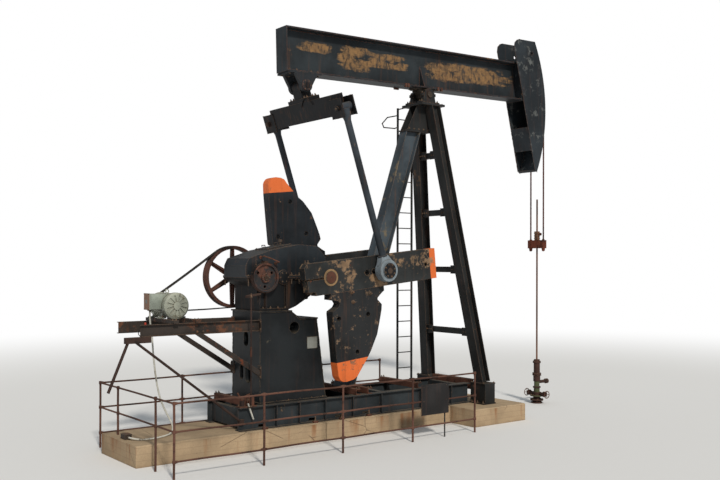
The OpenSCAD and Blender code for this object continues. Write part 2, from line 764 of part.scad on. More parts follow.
module motor_conduit() {
    color(conduit_grey) tube(smooth_path(conduit_route, conduit_steps), conduit_r, conduit_sides);
}

module junction_box() {
    end = conduit_route[len(conduit_route) - 1];
    color(worn_black) {
        translate([end.x - junction_size.x / 2, end.y, found_h]) cube(junction_size);
        translate([end.x - junction_size.x / 2 - 5, end.y - 5, found_h + junction_size.z])
            cube([junction_size.x + 10, junction_size.y + 10, 8]);
    }
}

// The groove profile of a sheave: a rim from its inner radius to its outer one, with four belt grooves
belt_count = 4;
groove_depth = 16;
belt_pitch = 28;

module grooved_rim(r_in, r_out) {
    rotate([-90, 0, 0]) rotate_extrude($fn = 96) difference() {
        translate([r_in, 0]) square([r_out - r_in, sheave_w]);
        for (i = [0 : belt_count - 1])
            translate([r_out, sheave_w / 2 + (i - (belt_count - 1) / 2) * belt_pitch])
                polygon([[-groove_depth, -5], [1, -10], [1, 10], [-groove_depth, 5]]);
    }
}

module motor_sheave() {
    color(rust) translate([motor_x, 0, motor_z]) {
        translate([0, sheave_y, 0]) grooved_rim(24, motor_sheave_r);
        round_y(28, motor_y1 + 1, sheave_y + 10);
        round_y(26, sheave_y, sheave_y + sheave_w + 12);
    }
}

belt_t = 16;

module drive_belts() {
    color(black_paint)
        upright(sheave_y + 12, sheave_w - 24)
            difference() {
                hull() {
                    translate([input_x, shaft_z]) circle(sheave_r + seat_gap + belt_t, $fn = 144);
                    translate([motor_x, motor_z]) circle(motor_sheave_r + seat_gap + belt_t);
                }
                hull() {
                    translate([input_x, shaft_z]) circle(sheave_r + seat_gap, $fn = 144);
                    translate([motor_x, motor_z]) circle(motor_sheave_r + seat_gap);
                }
            }
}

drum_y = -500;
drum_w = 95;

module input_shaft() {
    color(bare_steel) translate([input_x, 0, shaft_z]) round_y(input_shaft_r, drum_y - 25, sheave_y + sheave_w + 10);
}

spoke_t = 42;

// Six straight spokes and a hub carry the grooved rim
module large_sheave() {
    color(rust) translate([input_x, 0, shaft_z]) difference() {
        union() {
            translate([0, sheave_y, 0]) grooved_rim(sheave_r - 52, sheave_r);
            round_y(92, sheave_y - 5, sheave_y + sheave_w + 5);
            for (i = [0 : 5]) rotate([0, i * 60 + 30, 0]) {
                upright(sheave_y + (sheave_w - spoke_t) / 2, spoke_t)
                    polygon([[60, -46], [sheave_r - 45, -30], [sheave_r - 45, 30], [60, 46]]);
                translate([80, sheave_y + 12, -9]) cube([sheave_r - 125, sheave_w - 24, 18]);
            }
        }
        round_y(input_shaft_r, sheave_y - 10, sheave_y + sheave_w + 10);
    }
}

module brake_drum() {
    color(rust) translate([input_x, 0, shaft_z]) difference() {
        round_y(drum_r, drum_y, drum_y + drum_w);
        round_y(input_shaft_r, drum_y - 1, drum_y + drum_w + 1);
        difference() {
            round_y(drum_r - 26, drum_y - 1, drum_y + 38);
            round_y(80, drum_y - 2, drum_y + 40);
        }
        for (a = [90, 210, 330]) rotate([0, a, 0])
            translate([150, 0, 0]) round_y(26, drum_y - 1, drum_y + drum_w + 1);
    }
}

band_gap = 6;
band_t = 8;
band_w = 70;
brake_rod_x = input_x - 340;
brake_rod_y = -600;
brake_arm_z = shaft_z - 290;

// The brake band clears the drum, with the arm and rod that draw it tight
module brake_lever() {
    color(rust) {
        difference() {
            translate([input_x, 0, shaft_z])
                round_y(drum_r + band_gap + band_t, drum_y + 12, drum_y + 12 + band_w);
            translate([input_x, 0, shaft_z]) round_y(drum_r + band_gap, drum_y, drum_y + drum_w + 10);
            translate([input_x - 400, drum_y - 10, shaft_z + 40]) cube([400 - 30, drum_w + 20, 400]);
        }
        translate([input_x - 12, drum_y + 20, shaft_z + drum_r + band_gap])
            cube([60, -case_w / 2 - drum_y - 20, 30]);
        upright(drum_y + 24, 30)
            polygon([[brake_rod_x - 20, brake_arm_z - 30], [brake_rod_x - 10, brake_arm_z + 10],
                     [input_x - 80, shaft_z - drum_r - 14], [input_x - 80, shaft_z - drum_r - 44]]);
        translate([brake_rod_x - 15, brake_rod_y - 12, brake_arm_z - 30]) cube([30, drum_y + 54 - brake_rod_y + 12, 30]);
        translate([brake_rod_x, brake_rod_y, skid_top]) cylinder(r = 11, h = brake_arm_z - skid_top);
        translate([brake_rod_x - 50, brake_rod_y - 30, skid_top]) cube([100, -skid_w / 2 - brake_rod_y + 48, 12]);
    }
}

// Cranks
module slow_shaft() {
    color(bare_steel) translate([-shaft_back, 0, shaft_z]) round_y(slow_shaft_r, -crank_out - 15, crank_out + 15);
}

pin_hole_r = 50;
pin_hole_x = [762, 914, throw];
keeper_hole_x = 2100;
clamp_slot_t = 18;

// The crank's tail is split and clamped on the slow shaft
module crank_outline() {
    h = crank_depth / 2;
    difference() {
        polygon([[-crank_tail + 10, clamp_slot_t / 2], [-crank_tail, h - 70], [-crank_tail + 60, h],
                 [crank_reach, h], [crank_reach, -h],
                 [-crank_tail + 190, -h], [-crank_tail + 180, -h + 62], [-crank_tail + 48, -h + 70],
                 [-crank_tail + 40, -clamp_slot_t / 2]]);
        circle(slow_shaft_r);
        for (x = pin_hole_x) translate([x, 0]) circle(pin_hole_r);
        translate([keeper_hole_x, 0]) circle(0.7 * pin_hole_r);
        translate([-crank_tail - 1, -clamp_slot_t / 2]) square([crank_tail, clamp_slot_t]);
    }
}

module crank_near() {
    color(worn_black) on_crank() upright(-crank_out, crank_t) crank_outline();
}

module crank_far() {
    color(worn_black) on_crank() upright(crank_in, crank_t) crank_outline();
}

// A weight seen from its flat side, hanging from the crank's edge at y = 0; cut slims its outer corner
module weight_outline(cut) {
    r = weight_reach;
    difference() {
        polygon([[-30, 0], [1100, 0], [1100, -80], [1055, -105], [945, -185], [940, -215], [1025, -310], [1010, -400],
                 [952, -580], [872, -810], [715 - 0.2 * cut, -1060 + 0.6 * cut], [635 - 0.8 * cut, -1165 + 0.9 * cut],
                 [430 - cut, -0.925 * r + 0.2 * cut], [375 - 0.8 * cut, -r + 50], [300 - 0.8 * cut, -r + 15],
                 [160, -r], [90, -r + 8], [50, -r + 25], [10, -r + 65], [-10, -r + 110], [-22, -1200],
                 [-24, -700], [-24, -335], [-16, -300], [100, -245], [140, -190], [112, -136], [-44, -98]]);
        for (p = [[95, -435], [712, -440], [420, -1045]]) translate(p) circle(weight_hole_r);
    }
}

module counterweight(s, cut) {
    y0 = s > 0 ? crank_out - weight_t : -crank_out;
    color(worn_black) on_crank() upright(y0, weight_t)
        translate([0, s * crank_depth / 2]) mirror([0, s > 0 ? 1 : 0]) weight_outline(cut);
}

module counterweight_near() {
    counterweight(-1, 0);
}

// Slimmer at its outer corner than the near one, as far as the equalizer's forks need over the whole stroke
far_weight_cut = 45;

module counterweight_far() {
    counterweight(1, far_weight_cut);
}

// Walking beam
saddle_plate = [520, 206, 24];
end_plate_t = 20;
gusset_x = -78;
gusset_t = 16;
gusset_h = 440;

module walking_beam() {
    color(worn_black) on_beam() {
        translate([-beam_rear, 0, beam_lift + beam_depth / 2]) rotate([0, 90, 0])
            linear_extrude(beam_rear + beam_front)
                i_section(beam_depth, beam_flange_w, beam_flange_t, beam_web_t);
        crosswise(gusset_x, gusset_t)
            polygon([[10 - beam_flange_w / 2, beam_lift + 10], [beam_flange_w / 2 - 10, beam_lift + 10],
                     [beam_web_t / 2, beam_lift + gusset_h], [-beam_web_t / 2, beam_lift + gusset_h]]);
        translate([-beam_rear, -beam_flange_w / 2, beam_lift]) cube([end_plate_t, beam_flange_w, beam_depth]);
        upright(-60, 120)
            polygon([[beam_front - 260, beam_lift + beam_depth - 4], [beam_front - 260, beam_lift + beam_depth + 30],
                     [beam_front - 40, beam_lift + beam_depth + 30], [beam_front - 40, beam_lift + beam_depth - 4]]);
    }
}

module saddle_shaft() {
    h = beam_lift - saddle_plate.z;
    color(bare_steel) on_beam() {
        round_y(saddle_shaft_r, -222, 222);
        translate([-saddle_plate.x / 2, -saddle_plate.y / 2, h]) cube(saddle_plate);
        upright(-100, 200) polygon([[-saddle_shaft_r, 0], [saddle_shaft_r, 0], [170, h + 4], [-170, h + 4]]);
        translate([-250, -10, saddle_shaft_r]) cube([500, 20, h - saddle_shaft_r + 4]);
    }
}

tail_pin_r = 50;
hanger_boss_r = 115;
hanger_y = 172;
hanger_t = 70;
hanger_plate = [660, 414, 30];

module tail_bearing_hangers() {
    color(black_paint) on_beam() {
        translate([-tail_reach - hanger_plate.x / 2, -hanger_plate.y / 2, beam_lift - hanger_plate.z])
            cube(hanger_plate);
        for (s = [-1, 1]) difference() {
            union() {
                upright(s * hanger_y - hanger_t / 2, hanger_t)
                    polygon([[-tail_reach - 230, beam_lift - 20], [-tail_reach + 230, beam_lift - 20],
                             [-tail_reach + hanger_boss_r, -tail_drop], [-tail_reach - hanger_boss_r, -tail_drop]]);
                translate([-tail_reach, 0, -tail_drop])
                    round_y(hanger_boss_r, s * hanger_y - hanger_t / 2, s * hanger_y + hanger_t / 2);
            }
            translate([-tail_reach, 0, -tail_drop]) round_y(tail_pin_r + bearing_fit, -400, 400);
        }
    }
}

head_top_angle = 24.8;
head_span = 49.4;
head_steps = 24;
head_hole = [2855, 1110];

function arc_points(r) =
    [for (i = [0 : head_steps]) let(a = head_top_angle - i * head_span / head_steps) [r * cos(a), r * sin(a)]];

// The back of the side plates, from the toe to the crown, measured from the arc in units of the head's depth
head_back = [[-0.42, -2.04], [-0.53, -1.97], [-1.045, 0.355], [-1.387, 1.74], [-1.36, 1.9], [-1.27, 1.99],
             [-1.15, 2.03]];

module head_side() {
    difference() {
        polygon(concat(arc_points(head_arc_r), [for (p = head_back) [head_arc_r, 0] + head_depth * p]));
        translate(head_hole) circle(32);
    }
}

// A strip of plate between two points of the horsehead's outline
module head_plate(a, b, t) {
    n = [b.y - a.y, a.x - b.x] / norm(b - a);
    upright(-head_w / 2 + head_t, head_w - 2 * head_t) polygon([a, b, b + t * n, a + t * n]);
}

module horsehead() {
    back = [for (p = head_back) [head_arc_r, 0] + head_depth * p];
    inner = arc_points(head_arc_r - 20);
    color(black_paint) on_beam() {
        for (s = [-1, 1]) upright(s * (head_w - head_t) / 2 - head_t / 2, head_t) head_side();
        upright(-head_w / 2 + head_t, head_w - 2 * head_t)
            polygon(concat(arc_points(head_arc_r), [for (i = [head_steps : -1 : 0]) inner[i]]));
        head_plate(back[2] + 0.43 * (back[1] - back[2]), back[2] + 0.74 * (back[1] - back[2]), -12);
        head_plate(back[1], back[1] + 0.58 * (back[0] - back[1]), -16);
        translate([beam_front, -head_w / 2 + head_t, beam_lift - 20]) cube([20, head_w - 2 * head_t, beam_depth + 40]);
        for (y = [-90, 78]) upright(y, 12)
            polygon([[beam_front + 10, beam_lift + 40], [beam_front + 10, beam_lift + beam_depth - 40],
                     [head_arc_r - 240, beam_lift + beam_depth - 60], [head_arc_r - 60, beam_lift + 120],
                     [head_arc_r - 60, beam_lift + 40]]);
    }
}

// The cable's wrapped part ends a little above the saddle bearing, clear of the hanging part as the head rocks
wrap_start = 0.1;

module bridle_wrap() {
    color(rust) for (s = [-1, 1])
        translate([0, s * bridle_spread, saddle_z])
            rotate([90, 0, 0]) rotate([0, 0, wrap_start]) rotate_extrude(angle = head_top_angle - 0.5 - wrap_start, $fn = 96)
                translate([well_reach + seat_gap, 0]) circle(r = bridle_r, $fn = 24);
}

// Hanger: everything that swings from the tail bearing
module tail_bearing() {
    h = equalizer_drop - equalizer_depth / 2;
    color(black_paint) on_hanger() {
        round_y(tail_pin_r, -232, 232);
        round_y(104, -122, 122);
        upright(-120, 240) polygon([[-96, 0], [96, 0], [112, 40 - h], [-112, 40 - h]]);
        translate([-equalizer_w / 2, -300, -h]) cube([equalizer_w, 600, 64]);
    }
}

fork_x = 118;
neck_h = 80;
fork_t = 24;
fork_size = [330, 320];
fork_drop = equalizer_drop + 60;
pin_r = 38;
sleeve_r = 70;
collar_r = 84;

module equalizer_beam() {
    end_y = pitman_y - 130;
    color(black_paint) on_hanger() {
        translate([-equalizer_w / 2, -end_y, -equalizer_drop - equalizer_depth / 2])
            cube([equalizer_w, 2 * end_y, equalizer_depth]);
        for (s = [-1, 1], x = [-fork_x - fork_t, fork_x]) difference() {
            translate([x, s * (pitman_y - 42) - fork_size.x / 2, -fork_drop - fork_size.y / 2])
                cube([fork_t, fork_size.x, fork_size.y]);
            translate([x - 1, s * pitman_y, -fork_drop]) rotate([0, 90, 0])
                cylinder(r = pin_r - 2, h = fork_t + 2);
        }
        for (s = [-1, 1]) translate([-fork_x - fork_t - 30, s * pitman_y, -fork_drop])
            rotate([0, 90, 0]) cylinder(r = pin_r, h = 2 * (fork_x + fork_t + 30));
    }
}

module pitmans() {
    color(black_paint) on_hanger() for (s = [-1, 1]) translate([0, s * pitman_y, 0]) difference() {
        union() {
            translate([0, 0, -pitman_len + wrist_housing_r + neck_h])
                cylinder(r = pitman_r, h = pitman_len - wrist_housing_r - neck_h - fork_drop);
            translate([0, 0, -fork_drop - 230]) cylinder(r1 = pitman_r, r2 = collar_r, h = 110);
            translate([0, 0, -fork_drop - 120]) cylinder(r = collar_r, h = 90);
            translate([1 - fork_x, 0, -fork_drop]) rotate([0, 90, 0]) cylinder(r = sleeve_r, h = 2 * fork_x - 2);
        }
        translate([-fork_x, 0, -fork_drop]) rotate([0, 90, 0]) cylinder(r = pin_r + run_fit, h = 2 * fork_x);
    }
}

wrist_cap_r = 132;
wrist_cap_t = 26;

// A teardrop housing under each pitman, its pin reaching back to the crank's face
module wrist_bearings() {
    half = wrist_housing_t / 2;
    color(bare_steel) on_hanger() translate([0, 0, -pitman_len]) for (s = [-1, 1])
        translate([0, s * pitman_y, 0]) {
            translate([0, 0, wrist_housing_r - 90]) cylinder(r = pitman_r + 16, h = 90 + neck_h);
            upright(-half + 12, wrist_housing_t - 24)
                polygon([[-0.92 * wrist_housing_r, 60], [0.92 * wrist_housing_r, 60],
                         [pitman_r + 10, wrist_housing_r + neck_h - 10],
                         [-pitman_r - 10, wrist_housing_r + neck_h - 10]]);
            round_y(wrist_housing_r, -half, half);
            round_y(wrist_cap_r, s > 0 ? 0 : -half - wrist_cap_t, s > 0 ? half + wrist_cap_t : 0);
            round_y(wrist_pin_r, s > 0 ? crank_out + 6 - pitman_y : 0, s > 0 ? 0 : pitman_y - crank_out - 6);
        }
}

// Well end
carrier_z = found_h + carrier_h;
carrier_size = [120, 420, 172];
rope_gap = 5;

module carrier_bar() {
    color(rust) difference() {
        union() {
            translate([well_reach - carrier_size.x / 2, -carrier_size.y / 2, carrier_z]) cube(carrier_size);
            translate([well_reach - carrier_size.x / 2 - 8, -carrier_size.y / 2 + 90, carrier_z + 14])
                cube([carrier_size.x + 16, carrier_size.y - 180, carrier_size.z - 28]);
        }
        for (s = [-1, 1])
            translate([well_reach, s * bridle_spread, carrier_z - 1]) cylinder(r = bridle_r, h = carrier_size.z + 2);
        translate([well_reach, 0, carrier_z - 1]) cylinder(r = rod_r, h = carrier_size.z + 2);
    }
}

module bridle_cables() {
    color(rust) for (s = [-1, 1]) translate([well_reach, s * bridle_spread, 0]) {
        translate([0, 0, carrier_z - 65]) cylinder(r = bridle_r, h = saddle_z - rope_gap - carrier_z + 65);
        translate([0, 0, carrier_z - 55]) cylinder(r1 = 32, r2 = 38, h = 55);
    }
}

rod_foot = 300;
rod_top = 875;
clamp_size = [70, 90, 190];

module polished_rod() {
    color(rust) translate([well_reach, 0, 0]) {
        translate([0, 0, found_h + rod_foot])
            cylinder(r = rod_r, h = carrier_h + carrier_size.z + rod_top - rod_foot);
        translate([-clamp_size.x / 2, -clamp_size.y / 2, carrier_z + carrier_size.z]) cube(clamp_size);
    }
}

// Wellhead, from the casing flange at the ground up to the stuffing box
wellhead_parts = [[0, 28, 118], [28, 60, 62], [60, 88, 140], [88, 150, 75], [150, 178, 140], [178, 236, 90],
                  [236, 330, 62], [330, 356, 82], [356, 470, 56], [470, 600, 74], [600, 640, 92], [640, 860, 66],
                  [860, 900, 84], [900, 935, 62]];
outlet_z = 450;
outlet_reach = 330;

module wellhead() {
    color(rust) difference() {
        union() {
            for (p = wellhead_parts) translate([well_reach, 0, p[0]]) cylinder(r = p[2], h = p[1] - p[0]);
            translate([well_reach, 0, outlet_z]) rotate([0, 90, 0]) cylinder(r = 34, h = outlet_reach);
            translate([well_reach + outlet_reach - 60, 0, outlet_z]) rotate([0, 90, 0]) cylinder(r = 52, h = 60);
            translate([well_reach, 0, 207]) round_y(36, -230, 230);
            for (y = [-230, 190]) translate([well_reach, 0, 207]) round_y(58, y, y + 40);
        }
        translate([well_reach, 0, -1]) cylinder(r = rod_r + seat_gap, h = 1000);
    }
}

// Fence
fence_x0 = -5950;
fence_x1 = -160;
panel_gap = pipe_r + seat_gap;
fence_bays = 4;
rail_heights = [240, 655, fence_h - 10];

// Fence rails from x0 to x1 with a post at each end of every bay
module fence_run(x0, x1, y, bays) {
    for (z = rail_heights) translate([x0, y, z]) rotate([0, 90, 0]) cylinder(r = pipe_r - 3, h = x1 - x0);
    for (i = [0 : bays]) translate([x0 + (x1 - x0) * i / bays, y, 0]) cylinder(r = pipe_r, h = fence_h);
}

module fence_front() {
    color(rust) fence_run(fence_x0, fence_x1, -fence_y, fence_bays);
}

module fence_back() {
    color(rust) fence_run(fence_x0, fence_x1, fence_back_y, fence_bays);
}

module fence_end() {
    y0 = -fence_y + panel_gap;
    y1 = fence_back_y - panel_gap;
    color(rust) {
        for (z = [rail_heights[1], rail_heights[2]])
            translate([fence_x0, y0, z]) rotate([-90, 0, 0]) cylinder(r = pipe_r - 3, h = y1 - y0);
        translate([fence_x0, -1000, 0]) cylinder(r = pipe_r, h = fence_h);
        translate([fence_x0, 370, found_h]) cylinder(r = pipe_r, h = fence_h - found_h);
    }
}

board_size = [620, 6, 520];
board_corner = [-1430, 420];

module sign_board() {
    color(black_paint) {
        translate([board_corner.x, -fence_y - pipe_r - 3 - seat_gap, board_corner.y]) cube(board_size);
        translate([board_corner.x + board_size.x - 50, -fence_y + pipe_r + 9 + seat_gap, 0])
            cylinder(r = 12, h = rail_heights[1] + 60);
    }
}

foundation_blocks();
skid();
cross_channels();
pedestal();
gearbox_case();
gearbox_cover();
post_feet();
post_front_legs();
post_rear_leg();
post_head();
saddle_bearing_blocks();
ladder();
motor_arms();
motor_arm_braces();
motor_props();
motor_slide_rails();
motor_body();
motor_fan_cover();
motor_terminal_box();
motor_conduit();
junction_box();
motor_sheave();
drive_belts();
input_shaft();
large_sheave();
brake_drum();
brake_lever();
slow_shaft();
crank_near();
crank_far();
counterweight_near();
counterweight_far();
walking_beam();
saddle_shaft();
tail_bearing_hangers();
horsehead();
bridle_wrap();
tail_bearing();
equalizer_beam();
pitmans();
wrist_bearings();
carrier_bar();
bridle_cables();
polished_rod();
wellhead();
fence_front();
fence_back();
fence_end();
sign_board();
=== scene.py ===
"""Looks, light and camera of a beam pumping unit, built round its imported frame.

Metres, in the frame's own axes: +X to the well, +Y to the belt side, +Z up, z = 0 the floor.
"""

import logging
import math
from dataclasses import dataclass, field
from enum import Enum

import bpy
from mathutils import Matrix, Vector, noise

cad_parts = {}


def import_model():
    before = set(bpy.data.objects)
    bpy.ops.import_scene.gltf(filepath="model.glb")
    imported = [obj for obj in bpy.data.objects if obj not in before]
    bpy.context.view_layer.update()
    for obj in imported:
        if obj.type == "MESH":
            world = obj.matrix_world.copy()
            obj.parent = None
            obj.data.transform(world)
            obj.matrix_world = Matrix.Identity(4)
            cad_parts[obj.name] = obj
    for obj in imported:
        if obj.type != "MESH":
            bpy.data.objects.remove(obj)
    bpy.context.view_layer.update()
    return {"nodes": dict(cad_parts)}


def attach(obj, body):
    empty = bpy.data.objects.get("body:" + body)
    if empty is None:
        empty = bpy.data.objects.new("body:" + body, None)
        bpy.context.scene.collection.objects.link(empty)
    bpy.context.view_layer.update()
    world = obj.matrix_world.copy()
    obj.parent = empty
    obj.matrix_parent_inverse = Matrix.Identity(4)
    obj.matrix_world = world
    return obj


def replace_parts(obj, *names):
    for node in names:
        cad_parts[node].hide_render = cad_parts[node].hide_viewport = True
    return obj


LOG = logging.getLogger("scene")
SEED = 11
Colour = tuple[float, float, float]
Point = tuple[float, float, float]
WORN = "worn_"  # goes before the names of this script's materials, as the CAD ones have plain names


def srgb(r: float, g: float, b: float) -> Colour:
    """Turns a colour of 0 to 255 into the linear one that shaders use.

    Args:
        r: Red.
        g: Green.
        b: Blue.

    Returns:
        The linear colour.
    """
    def one(c: float) -> float:
        """Turns one channel."""
        c /= 255
        return c / 12.92 if c <= 0.04045 else ((c + 0.055) / 1.055) ** 2.4
    return one(r), one(g), one(b)


def shade(colour: Colour, factor: float) -> Colour:
    """Gives a lighter or darker form of a colour.

    Args:
        colour: The colour.
        factor: Above 1 for a lighter one, below 1 for a darker one.

    Returns:
        The new colour.
    """
    return tuple(min(1.0, c * factor) for c in colour)


class Body(str, Enum):
    """The bodies of the frame that fitted pieces ride on."""

    FRAME = "frame"
    CRANK = "crank"
    BEAM = "beam"
    HANGER = "hanger"
    ROD = "rod"
    DRIVE = "drive_shaft"


@dataclass(frozen=True)
class Linkage:
    """Sizes of the linkage at rest, as in the part's source."""

    saddle: Point = (0.0, 0.0, 6.21)
    shaft: Point = (-2.819, 0.0, 2.756)
    input: Point = (-3.8, 0.0, 2.756)
    motor: Point = (-5.19, 0.0, 2.32)
    tail: Point = (-2.817816, 0.0, 6.048581)
    beam_angle: float = math.radians(1.4513)
    crank_angle: float = math.radians(6.0)
    throw: float = 1.067
    pitman: float = 3.353
    pitman_y: float = 1.077
    well: float = 3.277

    @property
    def wrist(self) -> Point:
        """The wrist pin's place on the crank."""
        return (self.shaft[0] + self.throw * math.cos(self.crank_angle), 0.0,
                self.shaft[2] + self.throw * math.sin(self.crank_angle))

    @property
    def lean(self) -> float:
        """The pitmans' lean from the vertical, their foot towards the well."""
        return math.atan2(self.wrist[0] - self.tail[0], self.tail[2] - self.wrist[2])


LINK = Linkage()
BLOCK_TOP = 0.32  # top of the concrete blocks
SKID_TOP = 0.696  # top of the skid's rails


@dataclass(frozen=True)
class Axes:
    """A piece's own axes: turned about Y by an angle, nose up, about a point."""

    origin: Point
    angle: float

    def place(self, x: float, y: float, z: float) -> Vector:
        """Gives a point of the piece's own axes in the frame's.

        Args:
            x: Along the piece.
            y: Across it.
            z: Square to it, upwards.

        Returns:
            The point in the frame's axes.
        """
        c, s = math.cos(self.angle), math.sin(self.angle)
        return Vector((self.origin[0] + x * c - z * s, self.origin[1] + y, self.origin[2] + x * s + z * c))

    def way(self, x: float, y: float, z: float) -> Vector:
        """Gives a direction of the piece's own axes in the frame's.

        Args:
            x: Along the piece.
            y: Across it.
            z: Square to it, upwards.

        Returns:
            The direction in the frame's axes.
        """
        return self.place(x, y, z) - Vector(self.origin)


ON_FLOOR = Axes((0.0, 0.0, 0.0), 0.0)
ON_BEAM = Axes(LINK.saddle, LINK.beam_angle)
ON_CRANK = Axes(LINK.shaft, LINK.crank_angle)
ON_HANGER = Axes(LINK.tail, LINK.lean)


# Finishes


class Graph:
    """Builds one material's nodes. Each method returns the socket of its result."""

    def __init__(self, name: str) -> None:
        """Starts an empty graph.

        Args:
            name: The finish's name.
        """
        self.material = bpy.data.materials.new(WORN + name)
        self.material.use_nodes = True
        self.tree = self.material.node_tree
        self.tree.nodes.clear()
        self.coord = self.new("ShaderNodeTexCoord").outputs["Object"]

    def new(self, kind: str, **settings: object) -> bpy.types.Node:
        """Adds a node.

        Args:
            kind: The node's type.
            **settings: Properties to set on it.

        Returns:
            The node.
        """
        made = self.tree.nodes.new(kind)
        for key, value in settings.items():
            setattr(made, key, value)
        return made

    def put(self, socket: bpy.types.NodeSocket, value: object) -> None:
        """Links a socket to an input, or sets the input to a constant.

        Args:
            socket: The input.
            value: A socket, a number or a colour.
        """
        if isinstance(value, bpy.types.NodeSocket):
            self.tree.links.new(value, socket)
        elif isinstance(value, (int, float)):
            socket.default_value = value
        else:
            socket.default_value = (*value, 1.0) if len(socket.default_value) == 4 else value

    def math(self, op: str, a: object, b: object = 0.0) -> bpy.types.NodeSocket:
        """Adds a math node.

        Args:
            op: Its operation.
            a: The first value.
            b: The second value.

        Returns:
            The result.
        """
        made = self.new("ShaderNodeMath", operation=op)
        self.put(made.inputs[0], a)
        self.put(made.inputs[1], b)
        return made.outputs[0]

    def times(self, a: object, b: object) -> bpy.types.NodeSocket:
        """Multiplies two values."""
        return self.math("MULTIPLY", a, b)

    def plus(self, a: object, b: object) -> bpy.types.NodeSocket:
        """Adds two values."""
        return self.math("ADD", a, b)

    def minus(self, a: object, b: object) -> bpy.types.NodeSocket:
        """Takes the second value from the first."""
        return self.math("SUBTRACT", a, b)

    def mix(self, fac: object, a: object, b: object) -> bpy.types.NodeSocket:
        """Mixes two colours.

        Args:
            fac: 0 for the first, 1 for the second.
            a: The first colour.
            b: The second colour.

        Returns:
            The mixed colour.
        """
        made = self.new("ShaderNodeMix", data_type="RGBA")
        self.put(made.inputs[0], fac)
        self.put(made.inputs[6], a)
        self.put(made.inputs[7], b)
        return made.outputs[2]

    def span(self, value: object, low: float, high: float) -> bpy.types.NodeSocket:
        """Maps low to high onto 0 to 1, smoothly and clamped.

        Args:
            value: What to map.
            low: The value that gives 0.
            high: The value that gives 1.

        Returns:
            The mapped value.
        """
        made = self.new("ShaderNodeMapRange", interpolation_type="SMOOTHSTEP")
        self.put(made.inputs["Value"], value)
        self.put(made.inputs["From Min"], low)
        self.put(made.inputs["From Max"], high)
        return made.outputs[0]

    def noise(self, scale: float, detail: float = 5.0, rough: float = 0.6, stretch: Point = (1, 1, 1),
              shift: float = 0.0) -> bpy.types.NodeSocket:
        """Adds a noise pattern in the object's own coordinates.

        Args:
            scale: Its features per metre.
            detail: Its number of octaves.
            rough: The strength of the small octaves.
            stretch: A factor on the scale along each axis.
            shift: Moves the pattern, for another draw of it.

        Returns:
            The pattern, about 0.2 to 0.8.
        """
        mapping = self.new("ShaderNodeMapping")
        self.put(mapping.inputs["Vector"], self.coord)
        self.put(mapping.inputs["Scale"], stretch)
        self.put(mapping.inputs["Location"], (shift, shift * 0.7, shift * 1.3))
        made = self.new("ShaderNodeTexNoise")
        self.put(made.inputs["Vector"], mapping.outputs[0])
        self.put(made.inputs["Scale"], scale)
        self.put(made.inputs["Detail"], detail)
        self.put(made.inputs["Roughness"], rough)
        return made.outputs[0]

    def along(self, direction: Point) -> bpy.types.NodeSocket:
        """Gives the distance along a direction.

        Args:
            direction: The direction.

        Returns:
            The distance from the origin, in metres.
        """
        made = self.new("ShaderNodeVectorMath", operation="DOT_PRODUCT")
        self.put(made.inputs[0], self.coord)
        self.put(made.inputs[1], direction)
        return made.outputs["Value"]

    def facing(self, direction: Point) -> bpy.types.NodeSocket:
        """Gives how far the surface faces a direction.

        Args:
            direction: The direction.

        Returns:
            The cosine of the angle between them.
        """
        made = self.new("ShaderNodeVectorMath", operation="DOT_PRODUCT")
        self.put(made.inputs[0], self.new("ShaderNodeNewGeometry").outputs["Normal"])
        self.put(made.inputs[1], direction)
        return made.outputs["Value"]

    def edges(self, radius: float) -> tuple[bpy.types.NodeSocket, bpy.types.NodeSocket]:
        """Finds the edges of the shape.

        Args:
            radius: How far from an edge counts.

        Returns:
            A mask that is 1 on edges, and the rounded normal.
        """
        bevel = self.new("ShaderNodeBevel", samples=4)
        self.put(bevel.inputs["Radius"], radius)
        dot = self.new("ShaderNodeVectorMath", operation="DOT_PRODUCT")
        self.put(dot.inputs[0], bevel.outputs[0])
        self.put(dot.inputs[1], self.new("ShaderNodeNewGeometry").outputs["Normal"])
        return self.span(dot.outputs["Value"], 0.995, 0.86), bevel.outputs[0]

    def surface(self, colour: object, rough: object, metal: object, height: object, depth: float,
                normal: object = None, gloss: float = 0.2) -> bpy.types.Material:
        """Ends the graph with a shader.

        Args:
            colour: The base colour.
            rough: The roughness.
            metal: How metallic it is.
            height: The bump's height, 0 to 1.
            depth: The bump's depth in metres.
            normal: The normal under the bump.
            gloss: How strongly it shines, 0.5 for plain glossy paint.

        Returns:
            The material.
        """
        shader = self.new("ShaderNodeBsdfPrincipled")
        bump = self.new("ShaderNodeBump")
        self.put(bump.inputs["Height"], height)
        self.put(bump.inputs["Distance"], depth)
        self.put(bump.inputs["Strength"], 0.8)
        if normal is not None:
            self.put(bump.inputs["Normal"], normal)
        self.put(shader.inputs["Base Color"], colour)
        self.put(shader.inputs["Roughness"], rough)
        self.put(shader.inputs["Metallic"], metal)
        self.put(shader.inputs["Specular IOR Level"], gloss)
        self.put(shader.inputs["Normal"], bump.outputs[0])
        self.put(self.new("ShaderNodeOutputMaterial").inputs[0], shader.outputs[0])
        return self.material


@dataclass(frozen=True)
class Zone:
    """A painted part of a surface: what lies beyond a distance along a direction."""

    direction: Point
    start: float
    colour: Colour
    chips: float = 0.3


@dataclass(frozen=True)
class Blob:
    """A soft-edged worn area of the walking beam's side, in the beam's own axes."""

    x: float
    z: float
    half_x: float
    half_z: float


